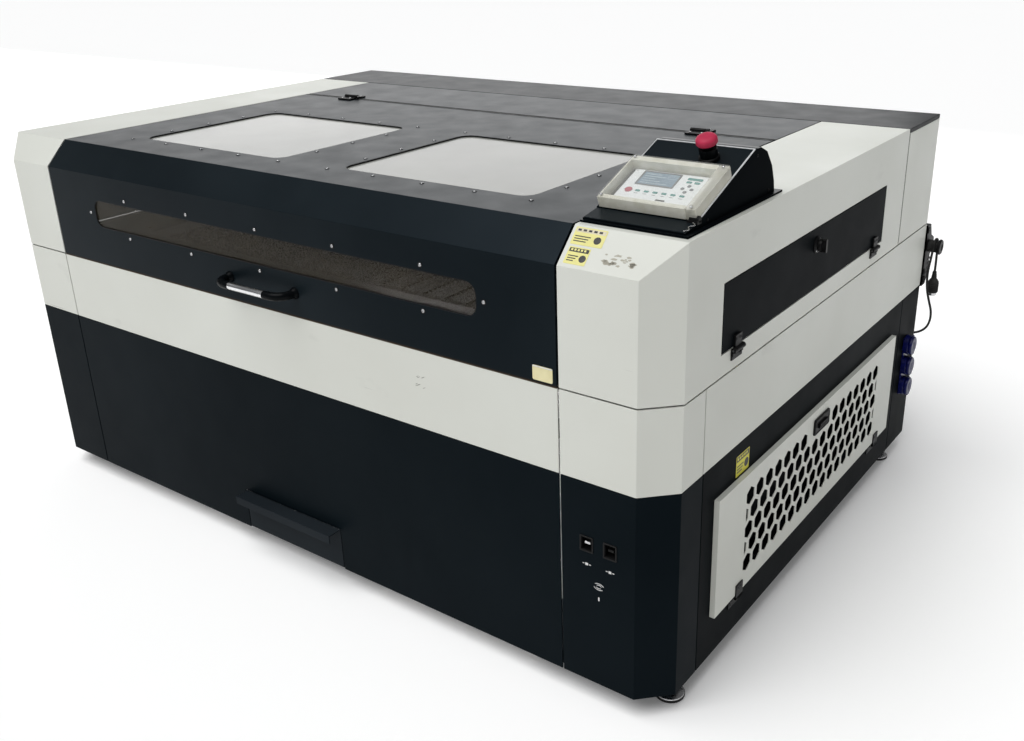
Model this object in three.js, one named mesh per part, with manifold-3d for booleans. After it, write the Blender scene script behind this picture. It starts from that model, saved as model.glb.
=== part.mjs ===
// Floor-standing CO2 laser engraver and cutter with a 1300 x 900 mm bed.
// Millimetres. +X is the machine's right, +Y its back, +Z up.
// In this file x = 0 is the cabinet's middle, y = 0 its front face and z = 0 the floor;
// the last lines move the whole machine so that the origin is under the middle of its box.

import * as THREE from 'three';
import { mergeVertices } from 'three/addons/utils/BufferGeometryUtils.js';
import Module from 'manifold-3d';

const wasm = await Module();
wasm.setup();

// ---- driving dimensions ----
const WIDTH = 1960;
const DEPTH = 1360;
const FOOT_HEIGHT = 45;
const LOWER_HEIGHT = 432;
const BAND_HEIGHT = 169;
const UPPER_HEIGHT = 279;
const CHAMFER = 57;
const SHEET = 3;
const SEAM = 3;
const GAP = 0.3;
const CAP_WIDTH = 216;
const POST_DEPTH = 136;
const LID_DEPTH = 862;
const BRIDGE_REAR = 1130;

const HALF = WIDTH / 2;
const SKIN = HALF - SHEET;
const LID_HALF = HALF - CAP_WIDTH;
const Z_BOTTOM = FOOT_HEIGHT;
const Z_BAND = Z_BOTTOM + LOWER_HEIGHT;
const Z_UPPER = Z_BAND + BAND_HEIGHT;
const Z_TOP = Z_UPPER + UPPER_HEIGHT;
const Z_SLOPE = Z_TOP - CHAMFER;

// reach of the outermost pieces beyond the cabinet's faces
const FRONT_REACH = 50;
const REAR_REACH = 70;
const RIGHT_REACH = 36;

const BED = { halfX: 650, front: 110, rear: 1010, top: Z_BOTTOM + 640, rim: 40 };
const SCREW = { x: 680, yFront: 200, yRear: 920, radius: 8 };
const PASS = { front: 187, rear: 1002, low: Z_BOTTOM + 643, high: Z_BOTTOM + 775 };
const VENT = { front: 184, rear: 1160, low: Z_BOTTOM + 98, high: Z_BOTTOM + 357, proud: 12 };
const DRAWER = { half: 160, top: Z_BOTTOM + 102, length: 330, lip: 33, lipHeight: 20 };
const RAIL = { x: 800, width: 40, low: Z_BOTTOM + 780, top: Z_BOTTOM + 810 };
const GANTRY_Y = 950;
const HEAD_X = 470;
const FACE = { y: 128, z: Z_TOP + 19.5, tilt: Math.atan(0.393) };
// the console's side outline as y and height above the top, from its foot up the sloped face and down its back
const CONSOLE = {
  left: 768, right: 962, flange: { left: 766, right: 970, front: 70, rear: 430 },
  profile: [[76, 2], [76, 7], [119, 14], [119, 16], [322, 95.7], [345, 96], [372, 84], [396, 54],
    [408, 24], [412, 2]],
};
const ESTOP = { x: 896, up: 164 };
const SOCKETS = { y: 1288, z: [216, 274.5, 333], radius: 25, face: HALF + 15, lid: 8 };
const SPOOL = { y: 1390, z: 578, radius: 16, flange: 20 };
const HOOK = { left: 940, right: 984, low: Z_UPPER - 172, high: Z_UPPER - 8, reach: 66, thick: 12 };
const CORD_RADIUS = 3;
const TUBE = { y: 1245, z: Z_UPPER + 110, radius: 40, half: 800 };

// ---- shape tools ----
const VIEWS = {
  plan: [new THREE.Vector3(1, 0, 0), new THREE.Vector3(0, 1, 0), new THREE.Vector3(0, 0, 1)],
  side: [new THREE.Vector3(0, 1, 0), new THREE.Vector3(0, 0, 1), new THREE.Vector3(1, 0, 0)],
  front: [new THREE.Vector3(1, 0, 0), new THREE.Vector3(0, 0, 1), new THREE.Vector3(0, -1, 0)],
};

const toVectors = (points) => points.map(([u, v]) => new THREE.Vector2(u, v));

// An outline in one view (plan: x,y; side: y,z; front: x,z), extruded across that view.
function prism(view, outline, start, end, holes = []) {
  const options = { depth: end - start, bevelEnabled: false, steps: 1 };
  const geometry = new THREE.ExtrudeGeometry(new THREE.Shape(toVectors(outline)), options);
  const [u, v, w] = VIEWS[view];
  geometry.applyMatrix4(new THREE.Matrix4().makeBasis(u, v, w));
  const offset = w.clone().multiplyScalar(view === 'front' ? -end : start);
  geometry.translate(offset.x, offset.y, offset.z);
  if (holes.length === 0) {
    return geometry;
  }
  return cut(geometry, ...holes.map((hole) => prism(view, hole, start - 1, end + 1)));
}

const rectangle = (u0, u1, v0, v1) => [[u0, v0], [u1, v0], [u1, v1], [u0, v1]];

function box(x0, x1, y0, y1, z0, z1) {
  const geometry = new THREE.BoxGeometry(x1 - x0, y1 - y0, z1 - z0);
  return geometry.translate((x0 + x1) / 2, (y0 + y1) / 2, (z0 + z1) / 2);
}

// A rectangle with round corners, each corner an arc of `steps` chords.
function roundedRectangle(u0, u1, v0, v1, radius, steps = 3) {
  const corners = [[u1 - radius, v0 + radius, -90], [u1 - radius, v1 - radius, 0],
    [u0 + radius, v1 - radius, 90], [u0 + radius, v0 + radius, 180]];
  const points = [];
  for (const [u, v, start] of corners) {
    for (let i = 0; i <= steps; i += 1) {
      const angle = THREE.MathUtils.degToRad(start + (90 * i) / steps);
      points.push([u + radius * Math.cos(angle), v + radius * Math.sin(angle)]);
    }
  }
  return points;
}

function cylinder(axis, radius, start, end, a, b, sides = 16) {
  const geometry = new THREE.CylinderGeometry(radius, radius, end - start, sides);
  geometry.translate(0, (start + end) / 2, 0);
  if (axis === 'x') {
    return geometry.rotateZ(-Math.PI / 2).translate(0, a, b);
  }
  if (axis === 'y') {
    return geometry.translate(a, 0, b);
  }
  return geometry.rotateX(Math.PI / 2).translate(a, b, 0);
}

// A line moved to its own left by `distance`, with mitred corners.
function moved(path, distance) {
  return path.map((point, i) => {
    const normals = [[i - 1, i], [i, i + 1]]
      .filter(([a, b]) => a >= 0 && b < path.length)
      .map(([a, b]) => {
        const du = path[b][0] - path[a][0];
        const dv = path[b][1] - path[a][1];
        const length = Math.hypot(du, dv);
        return [-dv / length, du / length];
      });
    const [n1, n2] = [normals[0], normals[normals.length - 1]];
    const scale = distance / (1 + n1[0] * n2[0] + n1[1] * n2[1]);
    return [point[0] + (n1[0] + n2[0]) * scale, point[1] + (n1[1] + n2[1]) * scale];
  });
}

// The outline of a bent sheet: `path` is its outer line, and its thickness goes to the left.
const strip = (path, thickness) => [...path, ...moved(path, thickness).reverse()];

const mirrored = (path) => path.map(([x, y]) => [-x, y]).reverse();

function toSolid(geometry) {
  const bare = geometry.clone();
  bare.deleteAttribute('normal');
  bare.deleteAttribute('uv');
  const merged = mergeVertices(bare, 1e-4);
  const vertProperties = new Float32Array(merged.attributes.position.array);
  const triVerts = new Uint32Array(merged.index.array);
  return new wasm.Manifold(new wasm.Mesh({ numProp: 3, vertProperties, triVerts }));
}

function toGeometry(solid) {
  const mesh = solid.getMesh();
  const geometry = new THREE.BufferGeometry();
  geometry.setAttribute('position', new THREE.BufferAttribute(mesh.vertProperties, 3));
  geometry.setIndex(new THREE.BufferAttribute(mesh.triVerts, 1));
  return geometry;
}

const join = (...parts) => toGeometry(parts.map(toSolid).reduce((a, b) => a.add(b)));
const cut = (part, ...tools) => (
  toGeometry(tools.map(toSolid).reduce((a, b) => a.subtract(b), toSolid(part)))
);

const machine = new THREE.Group();

const FINISHES = {
  navy: { color: 0x14171c, roughness: 0.45, metalness: 0.1 },
  white: { color: 0xd9d8d2, roughness: 0.5, metalness: 0.05 },
  black: { color: 0x0c0c0d, roughness: 0.5, metalness: 0.0 },
  steel: { color: 0xb8bbbe, roughness: 0.3, metalness: 1.0 },
  rubber: { color: 0x151515, roughness: 0.8, metalness: 0.0 },
  amber: { color: 0x6b4a24, roughness: 0.1, metalness: 0.0 },
  clear: { color: 0xd8d6cc, roughness: 0.1, metalness: 0.0 },
  red: { color: 0xb3152a, roughness: 0.4, metalness: 0.0 },
  blue: { color: 0x1b2f8f, roughness: 0.4, metalness: 0.0 },
  keypad: { color: 0xe4e6e8, roughness: 0.4, metalness: 0.0 },
};

function add(name, geometry, finish) {
  const mesh = new THREE.Mesh(geometry, new THREE.MeshStandardMaterial(FINISHES[finish]));
  mesh.name = name;
  machine.add(mesh);
}

// ---- plan outlines that several pieces share ----
// The cabinet's chamfered plan, moved in from the outer faces by `inset`.
function footprint(inset, rear = DEPTH) {
  const side = HALF - inset;
  const shift = inset * (Math.SQRT2 - 1);
  return [[-side, CHAMFER + shift], [-(HALF - CHAMFER) + shift, inset],
    [HALF - CHAMFER - shift, inset], [side, CHAMFER + shift], [side, rear - inset],
    [-side, rear - inset]];
}

const CORNER_PATH = [[LID_HALF + SEAM / 2, 0], [HALF - CHAMFER, 0], [HALF, CHAMFER],
  [HALF, POST_DEPTH - SEAM / 2]];

// ---- base ----
const FRAME = { low: Z_BOTTOM + 3, top: Z_BOTTOM + 33, tube: 40, inner: 165, outer: 660 };

function baseFrame() {
  const { low, top, tube, inner, outer } = FRAME;
  const [left, , , right, backRight, backLeft] = footprint(10, DEPTH);
  const notch = 400;
  const outline = [left, [-(HALF - CHAMFER) + 4, 10], [-inner, 10], [-inner, notch],
    [inner, notch], [inner, 10], [HALF - CHAMFER - 4, 10], right, backRight, backLeft];
  const back = DEPTH - 10 - tube;
  const side = HALF - 10 - tube;
  const bay = (x0, x1) => rectangle(x0, x1, 10 + tube, back);
  const windows = [bay(-side, -outer - tube), bay(-outer, -inner - tube),
    bay(inner + tube, outer), bay(outer + tube, side),
    rectangle(-inner, inner, notch + tube, back)];
  const shelf = (x0, x1) => box(x0, x1, tube, back + tube / 2, top - SHEET, top);
  return join(prism('plan', outline, low, top, windows),
    shelf(-side - 10, -outer - 10), shelf(outer + 10, side + 10));
}

const FEET = { x: HALF - 35, y: { front: 100, rear: 1260 } };

function levellingFoot(x, y) {
  const profile = [[0, 0], [30, 0], [30, 9], [15, 17], [9, 19], [9, FOOT_HEIGHT + 3 - GAP],
    [0, FOOT_HEIGHT + 3 - GAP]];
  const geometry = new THREE.LatheGeometry(toVectors(profile), 20);
  return geometry.rotateX(Math.PI / 2).translate(x, y, 0);
}

// ---- lower cabinet ----
function lowerFrontPanel() {
  const side = LID_HALF - SEAM / 2;
  const notch = DRAWER.half + 2;
  const outline = [[-side, Z_BOTTOM], [-notch, Z_BOTTOM], [-notch, DRAWER.top + 2],
    [notch, DRAWER.top + 2], [notch, Z_BOTTOM], [side, Z_BOTTOM], [side, Z_BAND - 1],
    [-side, Z_BAND - 1]];
  return prism('front', outline, 0, SHEET);
}

function frontPost(path) {
  return prism('plan', strip(path, SHEET), Z_BOTTOM, Z_BAND - 1);
}

// Two port windows side by side in the right post.
const PORTS = { x: [821, 871], z: Z_BOTTOM + 305, width: 24, height: 28 };

function portWindows() {
  const { z, width, height } = PORTS;
  return PORTS.x.map((x) => (
    box(x - width / 2, x + width / 2, -5, 10, z - height / 2, z + height / 2)));
}

function sidePanelRight() {
  const front = POST_DEPTH + SEAM / 2;
  const rear = DEPTH - POST_DEPTH - SEAM / 2;
  const hole = rectangle(VENT.front + 30, VENT.rear - 30, VENT.low + 25, VENT.high - 22);
  return prism('side', rectangle(front, rear, Z_BOTTOM, Z_BAND - 1), SKIN, HALF, [hole]);
}

const EXHAUST = { z: Z_BOTTOM + 250, radius: 75, flange: 100 };
const GLAND = { x: 945, z: 318, radius: 9 };

function rearPanel() {
  const start = DEPTH - POST_DEPTH + SEAM / 2;
  const path = [[HALF, start], [HALF, DEPTH], [-HALF, DEPTH], [-HALF, start]];
  return cut(prism('plan', strip(path, SHEET), Z_BOTTOM, Z_BAND - 1),
    cylinder('y', EXHAUST.radius - 1, DEPTH - 20, DEPTH + 20, 0, EXHAUST.z, 32),
    cylinder('y', GLAND.radius + GAP, DEPTH - 20, DEPTH + 20, GLAND.x, GLAND.z, 12));
}

// ---- upper body ----
// The solid block that a side cap is cut from, moved in from its outer faces by `inset`.
function capBlock(inset, rear, bottom) {
  const shift = inset * (Math.SQRT2 - 1);
  const inner = LID_HALF + SEAM / 2 - (inset ? 20 : 0);
  const outline = [[inner, inset], [HALF - CHAMFER - shift, inset], [HALF - inset, CHAMFER + shift],
    [HALF - inset, rear], [inner, rear]];
  const drop = inset * Math.SQRT2;
  const wedge = [[-50, Z_SLOPE - 50 - drop], [200, Z_SLOPE + 200 - drop], [-50, Z_SLOPE + 200 - drop]];
  return cut(prism('plan', outline, bottom, Z_TOP - inset),
    prism('side', wedge, LID_HALF - 100, HALF + 100));
}

function sideCap() {
  const rear = BRIDGE_REAR - 1;
  return cut(capBlock(0, rear, Z_UPPER), capBlock(SHEET, rear + 20, Z_UPPER - 20));
}

function topBridge() {
  const front = LID_DEPTH + 4;
  const rear = BRIDGE_REAR - 1;
  const outline = [[front, Z_TOP - SHEET], [rear - SHEET, Z_TOP - SHEET], [rear - SHEET, Z_UPPER + 60],
    [rear, Z_UPPER + 60], [rear, Z_TOP], [front, Z_TOP]];
  return prism('side', outline, -LID_HALF + SEAM / 2, LID_HALF - SEAM / 2);
}

const COVER_RIM = 10;

function rearShroud() {
  const start = BRIDGE_REAR + 6;
  const path = [[HALF, start], [HALF, DEPTH], [-HALF, DEPTH], [-HALF, start]];
  return prism('plan', strip(path, SHEET), Z_UPPER, Z_TOP - COVER_RIM - GAP);
}

const COVER_HINGES = { at: [-700, 0, 700], half: 30, radius: 5, out: 4, down: 6 };

function rearCover() {
  const front = BRIDGE_REAR + 3;
  const { at, half, radius, out, down } = COVER_HINGES;
  const tray = cut(box(-HALF, HALF, front, DEPTH, Z_TOP - COVER_RIM, Z_TOP),
    box(-SKIN, SKIN, front + SHEET, DEPTH - SHEET, Z_TOP - COVER_RIM - 5, Z_TOP - SHEET));
  const knuckles = at.map((x) => (
    cylinder('x', radius, x - half, x + half, DEPTH + out, Z_TOP - down, 12)));
  return join(tray, ...knuckles);
}

function workDeck() {
  const hole = rectangle(-SCREW.x - 25, SCREW.x + 25, BED.front - 10, BED.rear + 10);
  return prism('plan', footprint(SHEET + GAP), Z_UPPER - 9, Z_UPPER - 9 + SHEET, [hole]);
}

// A rail beam on two legs, so that long material can pass under it.
function yRail() {
  const deck = Z_UPPER - 6 + GAP;
  const outline = [[60, deck], [120, deck], [120, RAIL.low], [1050, RAIL.low], [1050, deck],
    [1112, deck], [1112, RAIL.top], [60, RAIL.top]];
  return prism('side', outline, RAIL.x, RAIL.x + RAIL.width);
}

// ---- lid ----
const LID_PATH = [[LID_DEPTH, Z_TOP], [CHAMFER, Z_TOP], [0, Z_SLOPE], [0, Z_UPPER + 2]];
const TOP_WINDOW = { inner: 94, outer: 592, front: 164, rear: 585, radius: 34 };
const FRONT_WINDOW = { half: 590, low: Z_BOTTOM + 694, high: Z_BOTTOM + 762, radius: 24 };
const PANE_MARGIN = 25;
const LID_FLANGE = 24;
const LID_HINGES = [-575, 575];

function lidShell() {
  const end = LID_HALF - SEAM;
  const skin = prism('side', strip(LID_PATH, SHEET), -end, end);
  const edge = moved([[LID_DEPTH - 2, Z_TOP], ...LID_PATH.slice(1, 3), [0, Z_UPPER + 4]], 1);
  const flanges = [-end + 1, end - 1 - SHEET].map((x) => (
    prism('side', strip(edge, LID_FLANGE), x, x + SHEET)));
  const { inner, outer, front, rear, radius } = TOP_WINDOW;
  const topHole = (x0, x1) => (
    prism('plan', roundedRectangle(x0, x1, front, rear, radius), Z_TOP - 20, Z_TOP + 20));
  const { half, low, high } = FRONT_WINDOW;
  const frontHole = prism('front', roundedRectangle(-half, half, low, high, FRONT_WINDOW.radius),
    -20, 20);
  const knuckles = LID_HINGES.flatMap((x) => [
    cylinder('x', 5, x - 14, x + 14, LID_DEPTH + 2, Z_TOP + 5.5, 12),
    box(x - 13, x + 13, LID_DEPTH - 30, LID_DEPTH + 1, Z_TOP - 1, Z_TOP + 4)]);
  return cut(join(skin, ...flanges, ...knuckles), topHole(inner, outer),
    topHole(-outer, -inner), frontHole);
}

function topPane(side) {
  const { inner, outer, front, rear, radius } = TOP_WINDOW;
  const edges = [side * (inner - PANE_MARGIN), side * (outer + PANE_MARGIN)].sort((a, b) => a - b);
  const outline = roundedRectangle(edges[0], edges[1], front - PANE_MARGIN, rear + PANE_MARGIN, radius);
  return prism('plan', outline, Z_TOP - SHEET - GAP - 4, Z_TOP - SHEET - GAP);
}

function frontPane() {
  const { half, low, high } = FRONT_WINDOW;
  const outline = rectangle(-half - PANE_MARGIN, half + PANE_MARGIN, low - 20, high + 20);
  return prism('front', outline, SHEET + GAP, SHEET + GAP + 3);
}

// A bridge handle that stands off the lid's front face.
const HANDLE = { half: 107, grip: 8, z: Z_BOTTOM + 652 };

function lidHandle() {
  const outer = -FRONT_REACH;
  const path = [[-HANDLE.half, -GAP], [-HANDLE.half, -24], [-HANDLE.half + 22, outer],
    [HANDLE.half - 22, outer], [HANDLE.half, -24], [HANDLE.half, -GAP]];
  return prism('plan', strip(path, 2 * HANDLE.grip), HANDLE.z - HANDLE.grip, HANDLE.z + HANDLE.grip);
}

// ---- doors on the right side ----
const PASS_HINGE = { x: HALF + 5, z: PASS.low - 3, at: [244, 945] };
const KNOB = { y: (PASS.front + PASS.rear) / 2, z: PASS.low + 96 };

function passDoor() {
  const plate = box(SKIN, HALF, PASS.front + 2, PASS.rear - 2, PASS.low + 2, PASS.high - 2);
  const knuckles = PASS_HINGE.at.flatMap((y) => [
    cylinder('y', 4.5, y - 12, y + 12, PASS_HINGE.x, PASS_HINGE.z, 12),
    box(HALF + GAP, HALF + 4, y - 12, y + 12, PASS_HINGE.z + 1, PASS_HINGE.z + 26),
    box(HALF - 1, HALF + 1, y - 12, y + 12, PASS.low + 4, PASS_HINGE.z + 26)]);
  return cut(join(plate, ...knuckles), cylinder('x', 5.5, SKIN - 5, HALF + 5, KNOB.y, KNOB.z));
}

function passKnob() {
  return join(cylinder('x', 5, SKIN - 4, HALF + 2, KNOB.y, KNOB.z),
    cylinder('x', 16, HALF + GAP, HALF + 7, KNOB.y, KNOB.z, 20),
    cylinder('x', 12, HALF + 6, HALF + 22, KNOB.y, KNOB.z, 20),
    box(SKIN - 4, SKIN - 1, KNOB.y - 8, KNOB.y + 8, KNOB.z - 8, KNOB.z + 30));
}

const VENT_HINGE = { x: HALF + 5.5, z: VENT.low - 6, at: [287, 1070] };
const HEX = { rows: 5, columns: 17, pitch: 44, size: 20, y: 320, z: Z_BOTTOM + 152 };
const LATCH = { y: 672, z: Z_BOTTOM + 318, width: 84, height: 37, grip: 50 };

// Staggered rows of hexagonal holes. The shifted rows end in half-holes, and the top row has a gap
// for the latch.
function hexHoles() {
  const holes = [];
  const { rows, columns, pitch, size } = HEX;
  const border = 0.8 * size;
  for (let row = 0; row < rows; row += 1) {
    const z = HEX.z + row * pitch * Math.sin(Math.PI / 3);
    const shifted = row % 2 === 1;
    for (let column = 0; column < columns - (shifted ? 1 : 0); column += 1) {
      const y = HEX.y + column * pitch + (shifted ? pitch / 2 : 0);
      if (row < rows - 1 || Math.abs(y - LATCH.y) > pitch * 1.1) {
        holes.push([30, 90, 150, 210, 270, 330].map((degrees) => {
          const angle = THREE.MathUtils.degToRad(degrees);
          return [y + size * Math.cos(angle), z + size * Math.sin(angle)];
        }));
      }
    }
    if (shifted) {
      const ends = [[HEX.y - border, 1], [HEX.y + (columns - 1) * pitch + border, -1]];
      holes.push(...ends.map(([y, way]) => [[y, z - border], [y + way * size / 2, z - size / 2],
        [y + way * size / 2, z + size / 2], [y, z + border]]));
    }
  }
  return holes;
}

function ventDoor() {
  const outline = rectangle(VENT.front, VENT.rear, VENT.low, VENT.high);
  const inside = rectangle(VENT.front + 2, VENT.rear - 2, VENT.low + 2, VENT.high - 2);
  const face = HALF + VENT.proud;
  const knuckles = VENT_HINGE.at.flatMap((y) => [
    cylinder('y', 4.5, y - 14, y + 14, VENT_HINGE.x, VENT_HINGE.z, 12),
    box(face - 1, face + 2, y - 14, y + 14, VENT_HINGE.z - 3, VENT.low + 22),
    box(VENT_HINGE.x - 1, face + 1, y - 14, y + 14, VENT_HINGE.z - 3, VENT_HINGE.z + 1)]);
  return join(prism('side', outline, face - 2, face, hexHoles()),
    prism('side', outline, HALF + 0.8, face - 1, [inside]), ...knuckles);
}

function ventLatch() {
  const face = HALF + VENT.proud + GAP;
  const { y, z, width, height, grip } = LATCH;
  return join(box(face, face + 5, y - width / 2, y + width / 2, z - height / 2, z + height / 2),
    box(face + 4, face + 9, y - grip / 2, y + grip / 2, z - 4, z + 4));
}

// ---- debris drawer ----
function debrisDrawer() {
  const low = Z_BOTTOM + 3;
  const tray = cut(box(-DRAWER.half + 3, DRAWER.half - 3, 1, DRAWER.length, low + 2, low + 87),
    box(-DRAWER.half + 5, DRAWER.half - 5, SHEET, DRAWER.length - 2, low + 4, low + 120));
  const lip = [[0.5, DRAWER.top], [-DRAWER.lip, DRAWER.top], [-DRAWER.lip, DRAWER.top - DRAWER.lipHeight],
    [-DRAWER.lip + 3, DRAWER.top - DRAWER.lipHeight], [-DRAWER.lip + 3, DRAWER.top - 3],
    [0.5, DRAWER.top - 3]];
  return join(box(-DRAWER.half, DRAWER.half, 0, SHEET, low, DRAWER.top), tray,
    prism('side', lip, -DRAWER.half + 2, DRAWER.half - 2));
}

// ---- console ----
// Shapes on the console's face are drawn flat (x, up the slope, off the face), then tilted.
function onFace(geometry) {
  return geometry.rotateX(FACE.tilt).translate(0, FACE.y, FACE.z);
}

function consoleHousing() {
  const { left, right, flange, profile } = CONSOLE;
  const outline = profile.map(([y, height]) => [y, Z_TOP + height]);
  const collar = cut(cylinder('z', 15, -4, 24, ESTOP.x, ESTOP.up, 20),
    cylinder('z', 9, -2, 30, ESTOP.x, ESTOP.up));
  return join(prism('side', outline, left, right),
    box(flange.left, flange.right, flange.front, flange.rear, Z_TOP + GAP, Z_TOP + 4), onFace(collar));
}

const KEYPAD = { left: 786, right: 934, low: 3, high: 103, thick: 8 };

function keypad() {
  return onFace(box(KEYPAD.left, KEYPAD.right, KEYPAD.low, KEYPAD.high, 0.6, KEYPAD.thick));
}

const GUARD = { left: 774, right: 960, low: -10, high: 120, top: 24, wall: 2.5 };

function clearCover() {
  const { left, right, low, high, top, wall } = GUARD;
  const inside = box(left + wall, right - wall, low + wall, high - wall, -5, top - wall);
  return onFace(cut(box(left, right, low, high, 1, top), inside));
}

function estopButton() {
  const profile = [[0, 8], [8, 8], [8, 32], [19, 32], [20, 36], [20, 44], [15, 49], [8, 51], [0, 51.5]];
  const geometry = new THREE.LatheGeometry(toVectors(profile), 20);
  return onFace(geometry.rotateX(Math.PI / 2).translate(ESTOP.x, ESTOP.up, 0));
}

// ---- sockets on the rear right post ----
function socketBlock() {
  const { y, z, radius, face } = SOCKETS;
  const bodies = z.map((height) => cylinder('x', radius, HALF + 2, face, y, height, 20));
  const recesses = z.map((height) => cylinder('x', radius - 6, face - 9, face + 5, y, height));
  const plate = box(HALF + GAP, HALF + 4, y - 22, y + 22, z[0] - 22, z[2] + 22);
  return cut(join(plate, ...bodies), ...recesses);
}

function socketLid(height) {
  const { y, radius, face, lid } = SOCKETS;
  const disc = cylinder('x', radius - 0.5, face + 1, face + 1 + lid, y, height, 20);
  return join(disc, box(face + 1, face + 5, y - 8, y + 8, height, height + radius + 2));
}

// ---- cord and its fittings at the rear ----
function cordHook() {
  const { left, right, low, high, reach, thick } = HOOK;
  const rear = DEPTH + GAP;
  const outer = DEPTH + reach;
  const end = HALF + RIGHT_REACH;
  const rim = 7;
  const arm = [[rear, low], [rear + 28, low], [rear + 44, low + 24], [rear + 44, SPOOL.z - 26],
    [outer, SPOOL.z - 16], [outer, SPOOL.z + 16], [rear + 40, SPOOL.z + 28], [rear + 26, high],
    [rear, high]];
  return join(box(left, right, rear, rear + SHEET, low, high), prism('side', arm, right - thick, right),
    cylinder('x', SPOOL.radius, right - 1, end - rim + 1, SPOOL.y, SPOOL.z, 20),
    cylinder('x', SPOOL.flange, end - rim, end, SPOOL.y, SPOOL.z, 20));
}

function cordGland() {
  const length = DEPTH + 21;
  const profile = [[3, DEPTH - 8], [GLAND.radius - 1, DEPTH - 8], [GLAND.radius - 1, DEPTH + GAP],
    [13, DEPTH + GAP], [13, DEPTH + 8], [6, length], [3, length], [3, DEPTH - 8]];
  return new THREE.LatheGeometry(toVectors(profile), 12).translate(GLAND.x, 0, GLAND.z);
}

// The cord's centre line, from the gland out and up over the spool and down to its plug.
const CORD_ROUTE = [[945, 1382, 318], [945, 1393, 318], [950, 1404, 319], [964, 1411, 321],
  [982, 1412, 329], [997, 1410, 345], [1005, 1406, 368], [1006, 1400, 396], [1000, 1393, 425],
  [994, 1386, 456], [992, 1379, 490], [994, 1373, 522], [998, 1370, 552], [1000, 1370, 578],
  [1000, 1372.7, 588], [1000, 1380, 595.3], [1000, 1390, 598], [1000, 1400, 595.3],
  [1000, 1407.3, 588], [1000, 1410, 578], [1000.5, 1410, 555], [1001, 1410, 530], [1001, 1410, 505]];

function cordLead() {
  const curve = new THREE.CatmullRomCurve3(CORD_ROUTE.map((point) => new THREE.Vector3(...point)));
  const sides = 8;
  const section = new THREE.Shape(Array.from({ length: sides }, (_, i) => {
    const angle = (2 * Math.PI * i) / sides;
    return new THREE.Vector2(CORD_RADIUS * Math.cos(angle), CORD_RADIUS * Math.sin(angle));
  }));
  return new THREE.ExtrudeGeometry(section, { steps: 46, bevelEnabled: false, extrudePath: curve });
}

function cordPlug() {
  const [x, y, top] = CORD_ROUTE[CORD_ROUTE.length - 1];
  const profile = [[0, -67], [12, -67], [14, -63], [14, -27], [7, -15], [5, -GAP], [0, -GAP]];
  const geometry = new THREE.LatheGeometry(toVectors(profile), 14);
  return geometry.rotateX(Math.PI / 2).translate(x, y, top);
}

function exhaustCollar() {
  const { radius, flange } = EXHAUST;
  const profile = [[radius, GAP], [flange, GAP], [flange, 3 + GAP], [radius + 3, 3 + GAP],
    [radius + 3, REAR_REACH], [radius, REAR_REACH], [radius, GAP]];
  return new THREE.LatheGeometry(toVectors(profile), 32).translate(0, DEPTH, EXHAUST.z);
}

// ---- optics and motion ----
// A glass tube, open at its ends, with its two cooling water nipples.
function laserTube() {
  const water = [-1, 1].map((side) => (
    cylinder('z', 6, TUBE.z + 30, TUBE.z + 60, side * (TUBE.half - 90), TUBE.y, 10)));
  return cut(join(cylinder('x', TUBE.radius, -TUBE.half, TUBE.half, TUBE.y, TUBE.z, 24), ...water),
    cylinder('x', TUBE.radius - 4, -TUBE.half - 5, TUBE.half + 5, TUBE.y, TUBE.z, 24));
}

function tubeCradle() {
  const low = Z_UPPER - 6 + GAP;
  const blocks = [-1, 1].map((side) => {
    const x = side * (TUBE.half - 260);
    return cut(box(x - 15, x + 15, TUBE.y - 52, TUBE.y + 46, low, TUBE.z),
      cylinder('x', TUBE.radius + 1, x - 20, x + 20, TUBE.y, TUBE.z, 24));
  });
  return join(box(-TUBE.half + 100, TUBE.half - 100, TUBE.y - 20, TUBE.y + 20, low, low + 40), ...blocks);
}

function bedTable() {
  const { halfX, front, rear, top, rim } = BED;
  const slat = 8;
  const cells = 20;
  const pitch = (2 * (halfX - rim) + slat) / cells;
  const holes = Array.from({ length: cells }, (_, i) => {
    const x = -halfX + rim + i * pitch;
    return rectangle(x, x + pitch - slat, front + rim, rear - rim);
  });
  const table = prism('plan', rectangle(-halfX, halfX, front, rear), top - rim, top, holes);
  const arms = [SCREW.yFront, SCREW.yRear].map((y) => (
    box(-SCREW.x - 18, SCREW.x + 18, y - 20, y + 20, top - rim, top - rim + 14)));
  const bores = [-1, 1].flatMap((side) => [SCREW.yFront, SCREW.yRear].map((y) => (
    cylinder('z', SCREW.radius + 1, top - rim - 10, top, side * SCREW.x, y, 12))));
  return cut(join(table, ...arms), ...bores);
}

function liftScrew(x, y) {
  const low = FRAME.top + GAP;
  return join(cylinder('z', SCREW.radius, low, BED.top - 12, x, y, 12),
    cylinder('z', 20, low + 6, low + 22, x, y, 20));
}

const MOTOR = { x: -SCREW.x, y: (SCREW.yFront + SCREW.yRear) / 2, half: 28, height: 76, shaft: 20 };

function liftMotor() {
  const low = FRAME.top + GAP;
  const { x, y, half, height, shaft } = MOTOR;
  return join(box(x - half, x + half, y - half, y + half, low, low + height),
    cylinder('z', 4, low + height - 5, low + height + shaft, x, y, 10));
}

const ELECTRONICS = { left: 706, right: 926, supply: [310, 650, 150], controller: [700, 980, 70] };

function electronicsBox([front, rear, height]) {
  const low = FRAME.top + GAP;
  return box(ELECTRONICS.left, ELECTRONICS.right, front, rear, low, low + height - GAP);
}

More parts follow.
